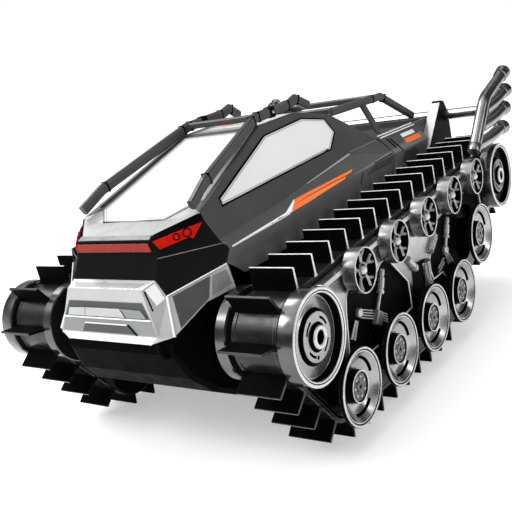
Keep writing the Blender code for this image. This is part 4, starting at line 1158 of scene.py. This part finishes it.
def build_underside():
    """Hull, door, switch and the inner parts, with screws and ribs underneath."""
    keep("lower_hull", "hull", 0.6)
    keep("battery_door", "hull", 0.4)
    keep("power_switch", "switch", 0.3)
    keep("battery_pack", "battery", 1.2)
    keep("circuit_board", "board", 0.2)
    for label, _ in SIDES:
        keep(f"track_frame_{label}", "frame", 0.3)
        keep(f"drive_gear_{label}", "nylon", 0.12)
        keep(f"motor_pinion_{label}", "brass", 0.1)
        keep(f"drive_motor_{label}", "steel", 0.3)
    bm = bmesh.new()
    for x in (-40, 40):
        for y in (-108, -60, -12, 36, 84):
            revolve(bm, (x, y, 34.05), (0, 0, -1), [(0, 0), (0, 3.4), (0.7, 3.2), (0.7, 0)], 24)
            bolt(bm, (x, y, 33.4), (0, 0, -1), 1.9, 0.7)
    piece("belly_screws", bm, "steel")
    bm = bmesh.new()
    for k in range(5):
        y = 8 + 7 * k
        block(bm, (0, y, 33.85), (1, 0, 0), (0, 0, 1), (20, 1.6, 0.5))
    block(bm, (10.6, 21, 33.7), (0, 1, 0), (0, 0, 1), (9, 3, 0.9))
    piece("door_ribs", bm, "frame", "battery_door", bevel=0.15)


# ---- room, light and camera


CARDS_AROUND = [(0, 0.15), (0.08, 1.3), (0.14, 0.1), (0.24, 0.1), (0.3, 1.4), (0.36, 0.15), (0.44, 0.1),
                (0.5, 1.2), (0.57, 0.1), (0.7, 0.2), (0.78, 1.4), (0.85, 0.15), (0.93, 0.9), (1, 0.15)]
CARDS_ABOVE = [(0, 1), (0.12, 0.7), (0.3, 0.25), (0.5, 1.1), (0.68, 0.35), (0.85, 1.2)]


# Place, target, width, height and power of each lamp, and the camera as fitted to the photograph, in metres.
LAMPS = {
    "key": ((-0.55, -0.75, 0.95), (0, -0.05, 0.08), 0.4, 0.4, 5),
    "top": ((-0.62, 0.08, 0.95), (0, 0, 0.08), 0.3, 0.7, 6),
    "side": ((1.1, 0.35, 0.45), (0.05, 0, 0.07), 0.25, 0.9, 2.5),
}
CAMERA_PLACE = Vector((0.2771, -0.3939, 0.1915))
CAMERA_BACK = Vector((0.5814, -0.7755, 0.2463))
CAMERA_UP = Vector((0.0008, 0.3033, 0.9529))
CAMERA_SHIFT = (-0.0215, 0.0035)
LENS = 53.66


def banded(tree, value, stops):
    """Bright and dark bands, as (place, brightness) stops along a value."""
    ramp = node(tree, "ValToRGB", {"Fac": value})
    marks = ramp.color_ramp.elements
    for k, (spot, light) in enumerate(stops):
        mark = marks[k] if k < 2 else marks.new(spot)
        mark.position, mark.color = spot, (light, light, light, 1)
    return ramp.outputs["Color"]


def build_stage():
    """Plain pale floor under a white studio, whose bright and dark cards only reflections see."""
    bm = bmesh.new()
    quad(bm, [(x * FLOOR_HALF, y * FLOOR_HALF, -0.2 * MM) for x, y in ((-1, -1), (1, -1), (1, 1), (-1, 1))])
    floor = helper("floor", bm)
    material = bpy.data.materials.new("floor")
    material.use_nodes = True
    shader = material.node_tree.nodes["Principled BSDF"]
    values = {"Base Color": (0.84, 0.84, 0.84, 1), "Roughness": 0.7, "Specular IOR Level": 0.1,
              "Emission Color": WHITE, "Emission Strength": 0.42}
    for key, value in values.items():
        fill(material.node_tree, shader, key, value)
    floor.data.materials.append(material)
    world = bpy.data.worlds.new("studio")
    bpy.context.scene.world = world
    world.use_nodes = True
    tree = world.node_tree
    parts = node(tree, "SeparateXYZ", {0: node(tree, "TexCoord").outputs["Generated"]}).outputs
    turn = node(tree, "Math", {0: parts["Y"], 1: parts["X"]}, operation="ARCTAN2").outputs[0]
    around = banded(tree, ranged(tree, turn, -pi, pi), CARDS_AROUND)
    cards = times(tree, around, banded(tree, parts["Z"], CARDS_ABOVE))
    soft, cards, plain = (node(tree, "Background", {"Color": WHITE, "Strength": strength}).outputs[0]
                          for strength in (0.5, cards, 1))
    ray = node(tree, "LightPath").outputs
    shiny = node(tree, "MixShader", {0: ray["Is Glossy Ray"], 1: soft, 2: cards}).outputs[0]
    both = node(tree, "MixShader", {0: ray["Is Camera Ray"], 1: shiny, 2: plain}).outputs[0]
    tree.links.new(both, tree.nodes["World Output"].inputs["Surface"])


def aim(item, place, target):
    item.location = place
    item.rotation_mode = "QUATERNION"
    item.rotation_quaternion = (Vector(target) - Vector(place)).to_track_quat("-Z", "Y")
    bpy.context.scene.collection.objects.link(item)


def build_lights():
    sun = bpy.data.lights.new("sky", "SUN")
    sun.energy, sun.angle = 1.7, radians(75)
    aim(bpy.data.objects.new("sky", sun), (-0.4, -0.5, 1.2), (0, 0, 0))
    for name, (place, target, wide, tall, power) in LAMPS.items():
        lamp = bpy.data.lights.new(name, "AREA")
        lamp.energy, lamp.shape, lamp.size, lamp.size_y = power, "RECTANGLE", wide, tall
        aim(bpy.data.objects.new(name, lamp), place, target)


def build_camera():
    data = bpy.data.cameras.new("camera")
    item = bpy.data.objects.new("camera", data)
    bpy.context.scene.collection.objects.link(item)
    back = CAMERA_BACK.normalized()
    up = (CAMERA_UP - back * CAMERA_UP.dot(back)).normalized()
    turned = Matrix((up.cross(back), up, back)).transposed().to_4x4()
    item.matrix_world = Matrix.Translation(CAMERA_PLACE) @ turned
    data.sensor_width, data.lens, data.clip_start = 36, LENS, 0.01
    data.shift_x, data.shift_y = CAMERA_SHIFT
    bpy.context.scene.camera = item
    bpy.context.scene.view_settings.view_transform = "Standard"


for build in (build_camera, build_stage, build_lights, build_underside, build_cab, build_glass, build_front,
              build_nose, build_cage, build_rear):
    build()
for label, side in SIDES:
    for kind in ("drive", "idler"):
        drive_face(label, side, kind)
    for number in range(1, 6):
        road_face(f"road_wheel_{number}", label, side)
        roller_face(number, label, side)
    for build in (build_belt, build_side_plate, build_running_gear, build_top_rail, build_exhaust):
        build(label, side)
